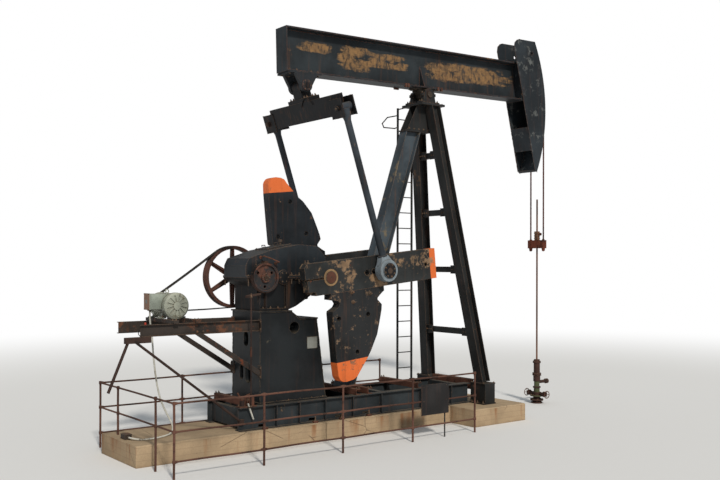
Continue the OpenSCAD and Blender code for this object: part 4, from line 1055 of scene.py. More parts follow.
@dataclass
class Pedestal(Assembly):
    """The welded pedestal under the gearbox."""

    x: tuple[float, float] = (-3.885, -2.59)
    foot: float = 0.721
    seat: float = 2.21
    deck: float = 2.075
    cap: float = 0.025
    half: float = 0.45
    looks = {"pedestal": Look.PEDESTAL}

    def fit(self) -> None:
        """Builds the bolts of the foot plates, the welds and the bare plate."""
        bolts, welds = Shape(), Shape()
        for s in SIDES:
            y = s * (self.half + 0.011)
            bolts.bolts(Vector((self.x[0] + 0.08, y, self.foot)), Vector((self.x[1] - 0.06, y, self.foot)), 6,
                        UP, 0.011, Look.BOLT, 0.008)
            back, front = (self.x[0], self.foot), (self.x[1], self.foot)
            outline = [(self.x[0], self.seat - self.cap), (-3.3, self.seat - self.cap),
                       (-3.111, self.deck - self.cap), (-2.77, self.deck - self.cap), front]
            for a, b in [(back, front), *zip(outline, outline[1:])]:
                welds.bead(Vector((a[0], s * self.half, a[1])), Vector((b[0], s * self.half, b[1])),
                           Look.PEDESTAL, 0.007)
        bolts.make("pedestal_bolts", Body.FRAME)
        for y in (-self.half, self.half):
            welds.bead(Vector((self.x[0], y, self.foot)), Vector((self.x[0], y, 2.18)), Look.PEDESTAL, 0.006)
        welds.make("pedestal_welds", Body.FRAME)
        plate = Shape()
        plate.box((-2.966, -0.4585, 1.554), (-2.764, -0.456, 1.746), Look.PLATE)
        for x in (-2.955, -2.775):
            for z in (1.565, 1.735):
                plate.lathe(Vector((x, -0.4585, z)), NEAR, [(0.005, -0.001), (0.005, 0.002), (0.003, 0.003)],
                            Look.BOLT, 8)
        plate.make("bare_plate", Body.FRAME)


@dataclass
class Gearbox(Assembly):
    """Gearbox case and cover, its bolts, bearing caps, breather and brake bracket."""

    x: tuple[float, float] = (-4.1002, -2.5404)
    split: float = 2.786
    under: float = 2.726
    flange_y: float = 0.38
    input_x: float = LINK.input[0]
    middle_x: float = -3.388
    shaft_x: float = LINK.shaft[0]
    shaft_z: float = LINK.shaft[2]
    looks = {"gearbox_case": Look.CASE, "gearbox_cover": Look.COVER}

    def fit(self) -> None:
        """Builds the gearbox's bolts and fittings."""
        bolts = Shape()
        small = [-4.065, -3.15]
        large = [self.input_x - 0.17, self.input_x + 0.165, self.middle_x - 0.152, self.middle_x + 0.152,
                 self.shaft_x - 0.265, self.shaft_x + 0.255]
        for s in SIDES:
            for x in small:
                bolts.bolt(Vector((x, s * self.flange_y, self.split)), UP, 0.013, Look.BOLT, 0.008)
                bolts.bolt(Vector((x, s * self.flange_y, self.under)), DOWN, 0.013, Look.BOLT)
            for x in large:
                bolts.bolt(Vector((x, s * self.flange_y, self.split)), UP, 0.02, Look.BOLT, 0.03)
                bolts.bolt(Vector((x, s * self.flange_y, self.under)), DOWN, 0.02, Look.BOLT, 0.06)
            bolts.bolts(Vector((-3.79, s * 0.38, 2.246)), Vector((-3.36, s * 0.38, 2.246)), 4, UP, 0.018,
                        Look.BOLT, 0.015)
            cap = Vector((self.shaft_x, s * 0.43, self.shaft_z))
            bolts.lathe(cap, side_axis(s),
                        [(0.112, -0.002), (0.205, -0.002), (0.205, 0.012), (0.19, 0.016), (0.112, 0.016)],
                        Look.CASE, 40, True)
            bolts.bolt_ring(cap + side_axis(s) * 0.015, side_axis(s), 0.178, 8, 0.012, Look.BOLT, 0.2)
            middle = Vector((self.middle_x, s * 0.39, self.shaft_z))
            bolts.lathe(middle, side_axis(s),
                        [(0.0, -0.002), (0.1, -0.002), (0.1, 0.012), (0.09, 0.016), (0.0, 0.016)], Look.CASE,
                        36)
            bolts.bolt_ring(middle + side_axis(s) * 0.012, side_axis(s), 0.078, 6, 0.01)
        bolts.bolts(Vector((self.x[0] + 0.03, -0.26, self.split)),
                    Vector((self.x[0] + 0.03, 0.26, self.split)), 4, UP, 0.013)
        cap = Vector((self.input_x, 0.39, self.shaft_z))
        bolts.lathe(cap, FAR, [(0.05, -0.002), (0.12, -0.002), (0.12, 0.01), (0.05, 0.01)], Look.CASE, 32,
                    True)
        bolts.bolt_ring(cap + FAR * 0.009, FAR, 0.1, 6, 0.01)
        for s in SIDES:
            stud_x = self.x[0] + 0.035
            bolts.tube([Vector((stud_x, s * 0.385, self.under + 0.01)), Vector((stud_x, s * 0.385, 2.62))],
                       0.011, Look.BOLT, 8)
        bolts.make("gearbox_bolts", Body.FRAME)
        lid = Shape()
        axes = Axes((-3.595, 0.0, 3.2333), math.radians(10.39))
        for x in [0.02 + 0.143 * i for i in range(4)]:
            for y in (-0.185, 0.185):
                lid.bolt(axes.place(x, y, 0.0), axes.way(0, 0, 1), 0.01)
        lid.lathe(axes.place(0.38, 0.0, -0.002), UP,
                  [(0.02, 0), (0.02, 0.05), (0.036, 0.05), (0.036, 0.085), (0.03, 0.095)], Look.BOLT, 16)
        for x in (0.05, 0.3):
            lid.tube([axes.place(x, -0.05, 0), axes.place(x, -0.05, 0.05), axes.place(x, 0.05, 0.05),
                      axes.place(x, 0.05, 0)],
                     0.008, Look.COVER, 8)
        lid.make("cover_fittings", Body.FRAME)
        bracket = Shape()
        bracket.tube([Vector((-3.825, -0.375, 3.085)), Vector((-3.825, -0.47, 3.107)),
                      Vector((-3.68, -0.48, 3.062)),
                      Vector((-3.54, -0.48, 3.01)), Vector((-3.54, -0.375, 2.99))], 0.011, Look.RUST, 8)
        for x, z in ((-3.825, 3.085), (-3.54, 2.99)):
            bracket.lathe(Vector((x, -0.366, z)), NEAR, [(0.03, -0.01), (0.03, 0.008)], Look.RUST, 6)
        bracket.make("drum_bracket", Body.FRAME)


@dataclass
class Post(Assembly):
    """Samson post: feet, legs, braces, head and the saddle bearing's blocks, with the ladder."""

    foot: tuple[float, float] = (0.86, 0.78)
    brace_z: tuple[float, ...] = (1.62, 2.82, 3.92, 5.02)
    leg_z: tuple[float, float] = (0.72, 5.83)
    leg_x: tuple[float, float] = (0.86, 0.09)
    leg_y: tuple[float, float] = (0.78, 0.235)
    looks = {"post_feet": Look.POST, "post_front_legs": Look.POST, "post_rear_leg": Look.REAR_LEG,
             "post_head": Look.POST, "saddle_bearing_blocks": Look.POST, "ladder": Look.POST}

    def leg(self, z: float, side: int) -> Vector:
        """Gives a point of a front leg's centre line.

        Args:
            z: Its height.
            side: The side of the leg.

        Returns:
            The point.
        """
        t = (z - self.leg_z[0]) / (self.leg_z[1] - self.leg_z[0])
        return Vector((self.leg_x[0] + (self.leg_x[1] - self.leg_x[0]) * t,
                       side * (self.leg_y[0] + (self.leg_y[1] - self.leg_y[0]) * t), z))

    def fit(self) -> None:
        """Builds the post's bolts, gussets and welds."""
        bolts = Shape()
        for s in SIDES:
            cx, cy = self.foot[0], s * self.foot[1]
            for dx in (-0.143, 0.143):
                bolts.bolts(Vector((cx + dx, cy - 0.15, 0.345)), Vector((cx + dx, cy + 0.15, 0.345)), 3, UP,
                            0.016, Look.BOLT, 0.03)
                bolts.bolts(Vector((cx + dx * 0.94, cy - 0.16, 0.72)),
                            Vector((cx + dx * 0.94, cy + 0.16, 0.72)), 2, UP, 0.016)
            for x in (-0.198, 0.198):
                for y in (0.142, 0.202):
                    bolts.bolt(Vector((x, s * y, 6.071)), UP, 0.018, Look.BOLT, 0.02)
            for x in (-0.145, 0.145):
                bolts.bolt(Vector((x, s * 0.162, 6.236)), UP, 0.018, Look.BOLT, 0.02)
            for x in (-0.42, -0.3, -0.18, -0.06, 0.06):
                bolts.bolt(Vector((x, s * 0.105, 5.545)), side_axis(s), 0.014, Look.BOLT)
        for x in (-1.95, -1.71):
            bolts.bolts(Vector((x, -0.13, 0.816)), Vector((x, 0.13, 0.816)), 2, UP, 0.016, Look.BOLT, 0.015)
        for y in (-0.27, 0.27):
            bolts.bolts(Vector((-0.2, y, 6.035)), Vector((0.26, y, 6.035)), 4, UP, 0.014)
        bolts.make("post_bolts", Body.FRAME)
        gussets = Shape()
        for s in SIDES:
            for z in self.brace_z:
                at = self.leg(z + 0.055, s)
                plate_y = sorted((at.y - s * 0.26, at.y - s * 0.03))
                gussets.box((at.x - 0.062, plate_y[0], z - 0.025), (at.x - 0.051, plate_y[1], z + 0.135),
                            Look.POST)
                for dy in (0.09, 0.15, 0.21):
                    gussets.bolt(Vector((at.x - 0.062, at.y - s * dy, z + 0.055)), BACK, 0.012)
            top, low = self.leg(5.99, s), self.leg(0.722, s)
            for dx in (-0.1, 0.1):
                gussets.bead(Vector((top.x + dx, top.y - 0.1, 5.992)),
                             Vector((top.x + dx, top.y + 0.1, 5.992)), Look.POST)
                gussets.bead(Vector((low.x + dx, low.y - 0.1, 0.722)),
                             Vector((low.x + dx, low.y + 0.1, 0.722)), Look.POST)
        gussets.make("brace_gussets", Body.FRAME)


@dataclass
class Motor(Assembly):
    """Motor with its box and cover, on rails over two arms with braces and props."""

    x: float = LINK.motor[0]
    z: float = LINK.motor[2]
    arm_x: float = -5.93
    looks = {"motor_arms": Look.ARM, "motor_arm_braces": Look.ARM, "motor_props": Look.DARK_RUST,
             "motor_slide_rails": Look.ARM, "motor_body": Look.MOTOR, "motor_fan_cover": Look.MOTOR,
             "motor_terminal_box": Look.BOX}

    def fit(self) -> None:
        """Builds the motor's bolts, plate, terminal box screws and the arms' fittings."""
        bolts = Shape()
        for x in (-0.165, 0.165):
            for y in (0.09, 0.40):
                bolts.bolt(Vector((self.x + x, y - 0.03 if y < 0.2 else y, 2.142)), UP, 0.015, Look.BOLT,
                           0.012)
        for x in (-0.2, 0.17):
            for y in (-0.44, 0.44):
                bolts.bolt(Vector((self.x + x - 0.028, y, 2.12)), UP, 0.012, Look.BOLT, 0.01)
                bolts.bolt(Vector((self.x + x + 0.03, y, 2.12)), UP, 0.012, Look.BOLT, 0.01)
        for s in SIDES:
            for z in (1.92, 2.04):
                bolts.bolt(Vector((-3.893, s * 0.478, z)), BACK, 0.013)
            bolts.bolts(Vector((-5.02, s * 0.4715, 1.93)), Vector((-4.92, s * 0.4715, 1.93)), 2, side_axis(s),
                        0.014)
            for z in (1.15, 1.29):
                bolts.bolt(Vector((-3.895, s * 0.483, z)), BACK, 0.012)
        for a in range(8):
            turn = math.radians(22.5 + 45 * a)
            at = Vector((self.x + 0.186 * math.cos(turn), 0.5, self.z + 0.186 * math.sin(turn)))
            bolts.bolt(at, FAR, 0.008)
            at = Vector((self.x + 0.208 * math.cos(turn), -0.05, self.z + 0.208 * math.sin(turn)))
            bolts.lathe(at, at - Vector((self.x, -0.05, self.z)),
                        [(0.007, -0.002), (0.007, 0.004), (0.004, 0.006)], Look.BOLT, 8)
        bolts.make("motor_bolts", Body.FRAME)
        box = Shape()
        for y in (0.012, 0.183):
            for z in (2.272, 2.508):
                box.lathe(Vector((-5.605, y, z)), BACK, [(0.008, -0.001), (0.008, 0.004), (0.005, 0.006)],
                          Look.BOLT, 10)
        box.box((-5.606, 0.07, 2.36), (-5.6045, 0.13, 2.42), Look.PLATE)
        box.tube([Vector((-5.555, 0.13, 2.271)), Vector((-5.555, 0.13, 2.245))], 0.02, Look.STEEL, 12)
        plate_at = Vector((self.x - 0.09, 0.24, self.z + 0.172))
        box.lathe(plate_at, Vector((-0.46, 0, 0.89)), [(0.001, -0.004), (0.05, -0.004), (0.05, 0.016)],
                  Look.PLATE, 4)
        box.make("motor_box_fittings", Body.FRAME)
        ends = Shape()
        loop = [Vector((self.arm_x - 0.004, -0.44 + 0.02 * math.sin(k * 1.3),
                        2.05 - 0.012 * k)) for k in range(3)]
        loop += [Vector((self.arm_x - 0.02 - 0.03 * math.sin(k * 0.55), -0.45 - 0.03 * math.sin(k * 0.8),
                         2.02 - 0.018 * k))
                 for k in range(8)]
        ends.tube(loop, 0.006, Look.RUBBER, 8)
        ends.lathe(Vector((-5.86, -0.44, 2.07)), UP, [(0.016, -0.002), (0.016, 0.03), (0.01, 0.036)],
                   Look.RED, 12)
        ends.make("arm_end_fittings", Body.FRAME)


@dataclass
class BeltDrive(Assembly):
    """Both sheaves and the belts between them."""

    large: Point = (LINK.input[0], 0.625, LINK.input[2])
    small: Point = (LINK.motor[0], 0.625, LINK.motor[2])
    radii: tuple[float, float] = (0.53, 0.12)
    pitch: float = 0.028
    count: int = 4
    section: tuple[tuple[float, float], ...] = (
        (-0.0085, 0.004), (0.0085, 0.004), (0.0055, -0.01), (-0.0055, -0.01))
    looks = {"motor_sheave": Look.SHEAVE, "large_sheave": Look.SHEAVE, "input_shaft": Look.STEEL}

    def loop(self) -> list[tuple[Vector, Vector]]:
        """Gives the belts' line round both sheaves.

        Returns:
            Points at the sheaves' rims with their outward directions, in order round the loop.
        """
        a, b = Vector(self.large), Vector(self.small)
        gap = Vector((b.x - a.x, 0, b.z - a.z))
        ahead = math.atan2(gap.z, gap.x)
        tilt = math.acos((self.radii[0] - self.radii[1]) / gap.length)
        out = []
        for centre, r, start, turn in ((a, self.radii[0], ahead + tilt, 2 * math.pi - 2 * tilt),
                                       (b, self.radii[1], ahead - tilt, 2 * tilt)):
            count = 72 if r > 0.3 else 20
            for k in range(count + 1):
                angle = start + turn * k / count
                n = Vector((math.cos(angle), 0, math.sin(angle)))
                out.append((centre + n * r, n))
        return out

    def fit(self) -> None:
        """Builds the V-belts in their grooves and the hub bolts."""
        belts = Shape()
        line = self.loop()
        straight = [i for i in range(len(line)) if (line[i][0] - line[i - 1][0]).length > 0.5]
        for k in range(self.count):
            y = (k - (self.count - 1) / 2) * self.pitch
            rings = []
            for i, (p, n) in enumerate(line):
                if i in straight:
                    q, m = line[i - 1]
                    sag = 0.008 + 0.004 * ((k * 7) % 3)
                    for j in range(1, 12):
                        t = j / 12
                        hang = DOWN * (sag * 4 * t * (1 - t))
                        at = q.lerp(p, t) + hang + FAR * (0.002 * math.sin(9 * t + 2 * k))
                        rings.append((at, m.lerp(n, t)))
                rings.append((p, n))
            belts.rings([[at + n * h + FAR * (y + w) for w, h in self.section] for at, n in rings],
                        Look.RUBBER, True)
        made = belts.make("v_belts", Body.FRAME, "belt_rubber")
        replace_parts(made, "drive_belts")
        hub = Shape()
        hub.bolt_ring(Vector((self.large[0], 0.695, self.large[2])), FAR, 0.068, 3, 0.011)
        hub.bolt_ring(Vector((self.large[0], -0.5, self.large[2])), NEAR, 0.062, 4, 0.009)
        hub.make("sheave_hub_bolts", Body.DRIVE)


@dataclass
class Brake(Assembly):
    """Brake drum, band and lever."""

    x: float = LINK.input[0]
    z: float = LINK.input[2]
    looks = {"brake_drum": Look.DRUM, "brake_lever": Look.DARK_RUST}

    def fit(self) -> None:
        """Builds the band's lining, bolts and the rod's clevis."""
        shape = Shape()
        lining = []
        for k in range(49):
            a = math.radians(96 + 252 * k / 48)
            lining.append([Vector((self.x + r * math.cos(a), y, self.z + r * math.sin(a)))
                           for r, y in ((0.2385, -0.484), (0.2425, -0.484), (0.2425, -0.422),
                                        (0.2385, -0.422))])
        shape.rings(lining, Look.RUBBER)
        for k in range(9):
            a = math.radians(105 + 28 * k)
            n = Vector((math.cos(a), 0, math.sin(a)))
            for y in (-0.472, -0.434):
                shape.lathe(Vector((self.x, y, self.z)) + n * 0.25, n,
                            [(0.006, -0.001), (0.006, 0.003), (0.003, 0.004)], Look.BOLT, 8)
        shape.bolt(Vector((-4.14, -0.612, 2.451)), NEAR, 0.012)
        shape.bolt(Vector((-4.14, -0.6, 2.467)), UP, 0.014, Look.BOLT, 0.03)
        shape.tube([Vector((-4.14, -0.6, 1.5)), Vector((-4.14, -0.6, 1.66))], 0.018, Look.RUST, 6)
        shape.bolt(Vector((-4.14, -0.6, 0.708)), UP, 0.017, Look.BOLT)
        shape.make("brake_fittings", Body.FRAME)


@dataclass
class Cranks(Assembly):
    """Slow shaft, cranks and counterweights."""

    outer: float = 0.93
    weight_inner: float = 0.745
    looks = {"slow_shaft": Look.STEEL, "crank_near": Look.CRANK, "crank_far": Look.CRANK,
             "counterweight_near": Look.WEIGHT_NEAR, "counterweight_far": Look.WEIGHT_FAR}

    def fit(self) -> None:
        """Builds the bolts of the cranks and weights and the rims of the pin holes."""
        shape = Shape()
        up, down = ON_CRANK.way(0, 0, 1), ON_CRANK.way(0, 0, -1)
        for s in SIDES:
            way = side_axis(s)
            for y in (0.815, 0.895):
                shape.bolt(ON_CRANK.place(-0.405, s * y, 0.268), up, 0.024, Look.BOLT, 0.03)
                shape.bolt(ON_CRANK.place(-0.405, s * y, -0.2), down, 0.024, Look.BOLT, 0.02)
            for x in (0.762, 0.914, 1.067):
                shape.lathe(ON_CRANK.place(x, s * self.outer, 0), way,
                            [(0.047, -0.03), (0.06, -0.002), (0.06, 0.003), (0.056, 0.0035), (0.047, 0.0035)],
                            Look.CRANK, 32, True)
            for x, z, size in ((0.397, -0.29, 0.034), (0.41, -0.461, 0.026), (0.78, -0.36, 0.03)):
                z = z if s < 0 else -z
                shape.bolt(ON_CRANK.place(x, s * self.outer, z), way, size, Look.BOLT, 0.03)
                at = ON_CRANK.place(x, s * self.weight_inner, z)
                if s < 0:
                    shape.bolt(at, -way, size, Look.BOLT, 0.03)
                else:  # low heads, as the large sheave turns close by
                    shape.bolt(at, -way, size * 0.8)
            shape.lathe(ON_CRANK.place(0, s * self.outer, 0), way,
                        [(0.106, -0.002), (0.142, -0.002), (0.142, 0.007), (0.138, 0.009), (0.106, 0.009)],
                        Look.OCHRE, 48, True)
            shaft = ON_CRANK.place(0, s * (self.outer + 0.015), 0)
            shape.lathe(shaft, way,
                        [(0.012, -0.001), (0.012, 0.004), (0.02, 0.002), (0.092, 0.002), (0.1, -0.001)],
                        Look.RUST, 32)
        shape.make("crank_bolts", Body.CRANK)


@dataclass
class Beam(Assembly):
    """Walking beam, saddle plate, tail bearing hangers and horsehead."""

    low: float = 0.131
    high: float = 0.895
    front: float = 2.59
    looks = {"walking_beam": Look.BEAM, "saddle_shaft": Look.STEEL, "tail_bearing_hangers": Look.BLACK,
             "horsehead": Look.HEAD, "bridle_wrap": Look.ROPE}

    def fit(self) -> None:
        """Builds the beam's bolts, clamps, welds and the head's fastenings."""
        place, way = ON_BEAM.place, ON_BEAM.way
        up, down = way(0, 0, 1), way(0, 0, -1)
        bolts, welds = Shape(), Shape()
        for s in SIDES:
            for x in (-0.226, 0.226):
                bolts.bolt(place(x, s * 0.072, self.low + 0.026), up, 0.018, Look.BOLT, 0.016)
                bolts.bolt(place(x, s * 0.072, self.low - 0.024), down, 0.016, Look.BOLT)
            for x in (-0.55, -0.49, 0.26, 0.35):
                bolts.box(*corners(place(x - 0.022, s * 0.136, self.low - 0.028),
                                   place(x + 0.022, s * 0.178, self.low + 0.04)),
                          Look.RUST)
            for x in (-3.11, -2.97, -2.67, -2.53):
                bolts.bolt(place(x, s * 0.125, self.low + 0.026), up, 0.018, Look.BOLT, 0.016)
                bolts.bolt(place(x, s * 0.125, self.low - 0.03), down, 0.016, Look.BOLT)
            for x in (-0.078, -0.062):
                welds.bead(place(x, s * 0.012, self.low + 0.03), place(x, s * 0.012, self.low + 0.43),
                           Look.BEAM, 0.006)
                welds.bead(place(x, s * 0.012, self.low + 0.03), place(x, s * 0.158, self.low + 0.03),
                           Look.BEAM, 0.006)
            for z in (self.low + 0.03, self.high - 0.03):
                welds.bead(place(-3.16, s * 0.012, z), place(2.58, s * 0.012, z), Look.BEAM, 0.005)
            for z in (0.25, 0.45, 0.62, 0.78):
                bolts.bolt(place(self.front - 0.001, s * 0.2, z), way(-1, 0, 0), 0.017, Look.BOLT, 0.015)
            back = [(-0.53, -1.97), (-1.045, 0.355), (-1.387, 1.74), (-1.36, 1.9), (-1.27, 1.99),
                    (-1.15, 2.03)]
            for a, b in zip(back, back[1:]):
                p = [Vector((3.26 + 0.672 * u, 0, 0.672 * v)) for u, v in (a, b)]
                welds.bead(place(p[0].x, s * 0.244, p[0].z), place(p[1].x, s * 0.244, p[1].z), Look.HEAD,
                           0.005)
        bolts.make("beam_bolts", Body.BEAM)
        welds.make("beam_welds", Body.BEAM)
        pins = Shape()
        tail = place(-2.821, 0, -0.09)
        for s in SIDES:
            pins.lathe(tail + side_axis(s) * 0.207, side_axis(s),
                       [(0.051, -0.002), (0.1, -0.002), (0.1, 0.012), (0.092, 0.018), (0.051, 0.018)],
                       Look.DRUM, 32, True)
            pins.bolt_ring(tail + side_axis(s) * 0.217, side_axis(s), 0.077, 6, 0.01)
            pins.lathe(place(0, s * 0.222, 0), side_axis(s),
                       [(0.02, -0.002), (0.056, -0.002), (0.056, 0.01), (0.05, 0.012)], Look.STEEL, 28)
            pins.lathe(place(2.855, s * 0.245, 1.11), side_axis(s),
                       [(0.031, -0.002), (0.05, -0.002), (0.05, 0.006), (0.031, 0.006)], Look.HEAD, 24, True)
        pins.make("beam_pins", Body.BEAM)


@dataclass
class Hanger(Assembly):
    """Tail bearing, equalizer, pitmans and wrist bearings."""

    drop: float = 0.44
    fork_drop: float = 0.5
    looks = {"tail_bearing": Look.HANGER, "equalizer_beam": Look.HANGER, "pitmans": Look.PITMAN,
             "wrist_bearings": Look.WRIST}

    def fit(self) -> None:
        """Builds the hanger's bolts, pins, grease hose and wrist bearing caps."""
        place, way = ON_HANGER.place, ON_HANGER.way
        shape = Shape()
        top = -self.drop + 0.175
        for s in SIDES:
            for x in (-0.09, 0.09):
                for y in (0.17, 0.25):
                    shape.bolt(place(x, s * y, top + 0.064), way(0, 0, 1), 0.018, Look.BOLT, 0.02)
            for x in (-0.142, 0.142):
                for z in (-0.34, -0.66):
                    shape.bead(place(x, s * 0.875, z), place(x, s * 1.195, z), Look.HANGER, 0.006)
            for x, w in ((-0.172, -1), (0.172, 1)):
                at = place(x, s * LINK.pitman_y, -self.fork_drop)
                shape.lathe(at, way(w, 0, 0), [(0.05, -0.004), (0.05, 0.004), (0.03, 0.008)], Look.HANGER, 20)
                shape.bolt(at + way(w, 0, 0) * 0.006, way(w, 0, 0), 0.018)
            wrist = place(0, s * LINK.pitman_y, -LINK.pitman)
            out = side_axis(s)
            face = wrist + out * 0.101
            shape.lathe(face, out,
                        [(0.045, -0.002), (0.129, -0.002), (0.129, 0.004), (0.118, 0.008), (0.045, 0.008)],
                        Look.CASE, 48, True)
            shape.lathe(face, out, [(0.02, -0.002), (0.046, -0.002), (0.046, 0.005), (0.04, 0.007)],
                        Look.BOLT, 24)
            shape.bolt_ring(face + out * 0.0075, out, 0.105, 8, 0.011, Look.BOLT, 0.3)
            shape.lathe(wrist + out * 0.075, out,
                        [(0.134, -0.001), (0.187, -0.001), (0.187, 0.003), (0.182, 0.005), (0.134, 0.005)],
                        Look.WRIST, 56, True)
            neck = place(0, s * LINK.pitman_y, -LINK.pitman + 0.27)
            shape.lathe(neck, way(0, 0, 1),
                        [(0.074, -0.02), (0.078, -0.02), (0.078, 0.0), (0.06, 0.012), (0.056, 0.012)],
                        Look.PITMAN, 32, True)
        shape.make("hanger_bolts", Body.HANGER)
        hose = Shape()
        pts = [place(-0.137, -0.42 + 0.34 * k / 8,
                     -self.drop + 0.1 + 0.13 * math.sin(math.pi * k / 8)) for k in range(9)]
        hose.tube(pts, 0.008, Look.RUBBER, 8)
        hose.make("grease_hose", Body.HANGER)


@dataclass
class Well(Assembly):
    """Bridle ropes, carrier bar, polished rod and wellhead."""

    reach: float = LINK.well
    spread: float = 0.176
    strands: int = 6
    lay: float = 0.15
    low: float = 3.255
    high: float = 6.205
    wrap: tuple[float, float] = (0.1, 24.3)
    looks = {"carrier_bar": Look.CARRIER, "polished_rod": Look.ROD, "bridle_cables": Look.ROPE,
             "wellhead": Look.WELLHEAD}

    def twist(self, shape: Shape, path: list[Vector], across: Vector) -> None:
        """Lays strands round a path.

        Args:
            shape: The shape to add to.
            path: The rope's centre line, evenly spaced.
            across: A direction square to the whole path.
        """
        step = (path[1] - path[0]).length
        for k in range(self.strands):
            pts = []
            for i, p in enumerate(path):
                w = (path[min(i + 1, len(path) - 1)] - path[max(i - 1, 0)]).normalized()
                u = w.cross(across)
                a = 2 * math.pi * (k / self.strands + i * step / self.lay)
                pts.append(p + 0.011 * (math.cos(a) * u + math.sin(a) * across))
            shape.tube(pts, 0.006, Look.ROPE, 5)

    def fit(self) -> None:
        """Builds the ropes, their sockets and the wellhead's bolts."""
        hanging, wrapped = Shape(), Shape()
        for s in SIDES:
            count = 230
            line = [Vector((self.reach, s * self.spread,
                            self.low + (self.high - self.low) * k / count)) for k in range(count + 1)]
            self.twist(hanging, line, FAR)
            hanging.lathe(Vector((self.reach, s * self.spread, self.low + 0.01)), UP,
                          [(0.017, -0.01), (0.03, 0), (0.038, 0.05), (0.038, 0.055)], Look.CARRIER, 24)
            hanging.lathe(Vector((self.reach, s * self.spread, 3.493)), UP,
                          [(0.018, -0.002), (0.03, -0.002), (0.03, 0.012), (0.018, 0.02)], Look.CARRIER, 24,
                          True)
            arc = []
            r = self.reach + 0.0003
            for k in range(111):
                a = math.radians(self.wrap[0] + (self.wrap[1] - self.wrap[0]) * k / 110)
                arc.append(Vector((r * math.cos(a), s * self.spread, LINK.saddle[2] + r * math.sin(a))))
            self.twist(wrapped, arc, FAR)
        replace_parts(hanging.make("rope_hanging", Body.ROD, "rusty_steel"), "bridle_cables")
        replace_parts(wrapped.make("rope_wrapped", Body.BEAM, "rusty_steel"), "bridle_wrap")
        clamp = Shape()
        for z in (3.53, 3.587, 3.644):
            for y in (-0.03, 0.03):
                clamp.bolt(Vector((self.reach - 0.035, y, z)), BACK, 0.013, Look.BOLT, 0.012)
                clamp.bolt(Vector((self.reach + 0.035, y, z)), WELL, 0.013, Look.BOLT, 0.012)
        clamp.lathe(Vector((self.reach, -0.045, 3.62)), NEAR,
                    [(0.012, -0.002), (0.012, 0.05), (0.03, 0.05), (0.03, 0.062)], Look.CARRIER, 12)
        clamp.make("rod_clamp_bolts", Body.ROD)
        head = Shape()
        axis = Vector((self.reach, 0, 0))
        for z, radius, count in ((0.088, 0.118, 8), (0.178, 0.118, 8), (0.64, 0.08, 6), (0.9, 0.074, 4)):
            head.bolt_ring(axis + UP * z, UP, radius, count, 0.013)
        for z, radius, count in ((0.06, 0.118, 8), (0.6, 0.083, 6)):
            head.bolt_ring(axis + UP * z, DOWN, radius, count, 0.012)
        for s in SIDES:
            out = side_axis(s)
            face = Vector((self.reach, s * 0.23, 0.207))
            head.bolt_ring(face - out * 0.04, -out, 0.047, 4, 0.008)
            wheel = face + out * 0.05
            head.tube([face, wheel], 0.01, Look.STEEL, 8)
            m = basis(out)
            rim = [wheel + m @ Vector((0.075 * math.cos(a), 0.075 * math.sin(a), 0)) for a in
                   (2 * math.pi * k / 24 for k in range(24))]
            head.tube(rim, 0.008, Look.RUST, 8, closed=True)
            for k in range(4):
                head.tube([wheel, rim[6 * k]], 0.006, Look.RUST, 6)
        head.bolt_ring(Vector((self.reach + 0.27, 0, 0.45)), BACK, 0.04, 4, 0.008)
        for low, high, radius in ((0.237, 0.329, 0.0622), (0.357, 0.469, 0.0562), (0.151, 0.177, 0.1402)):
            head.lathe(axis + UP * low, UP,
                       [(radius, 0), (radius + 0.0015, 0), (radius + 0.0015, high - low),
                        (radius, high - low)], Look.GREEN, 40, True)
        head.make("wellhead_fittings", Body.FRAME)


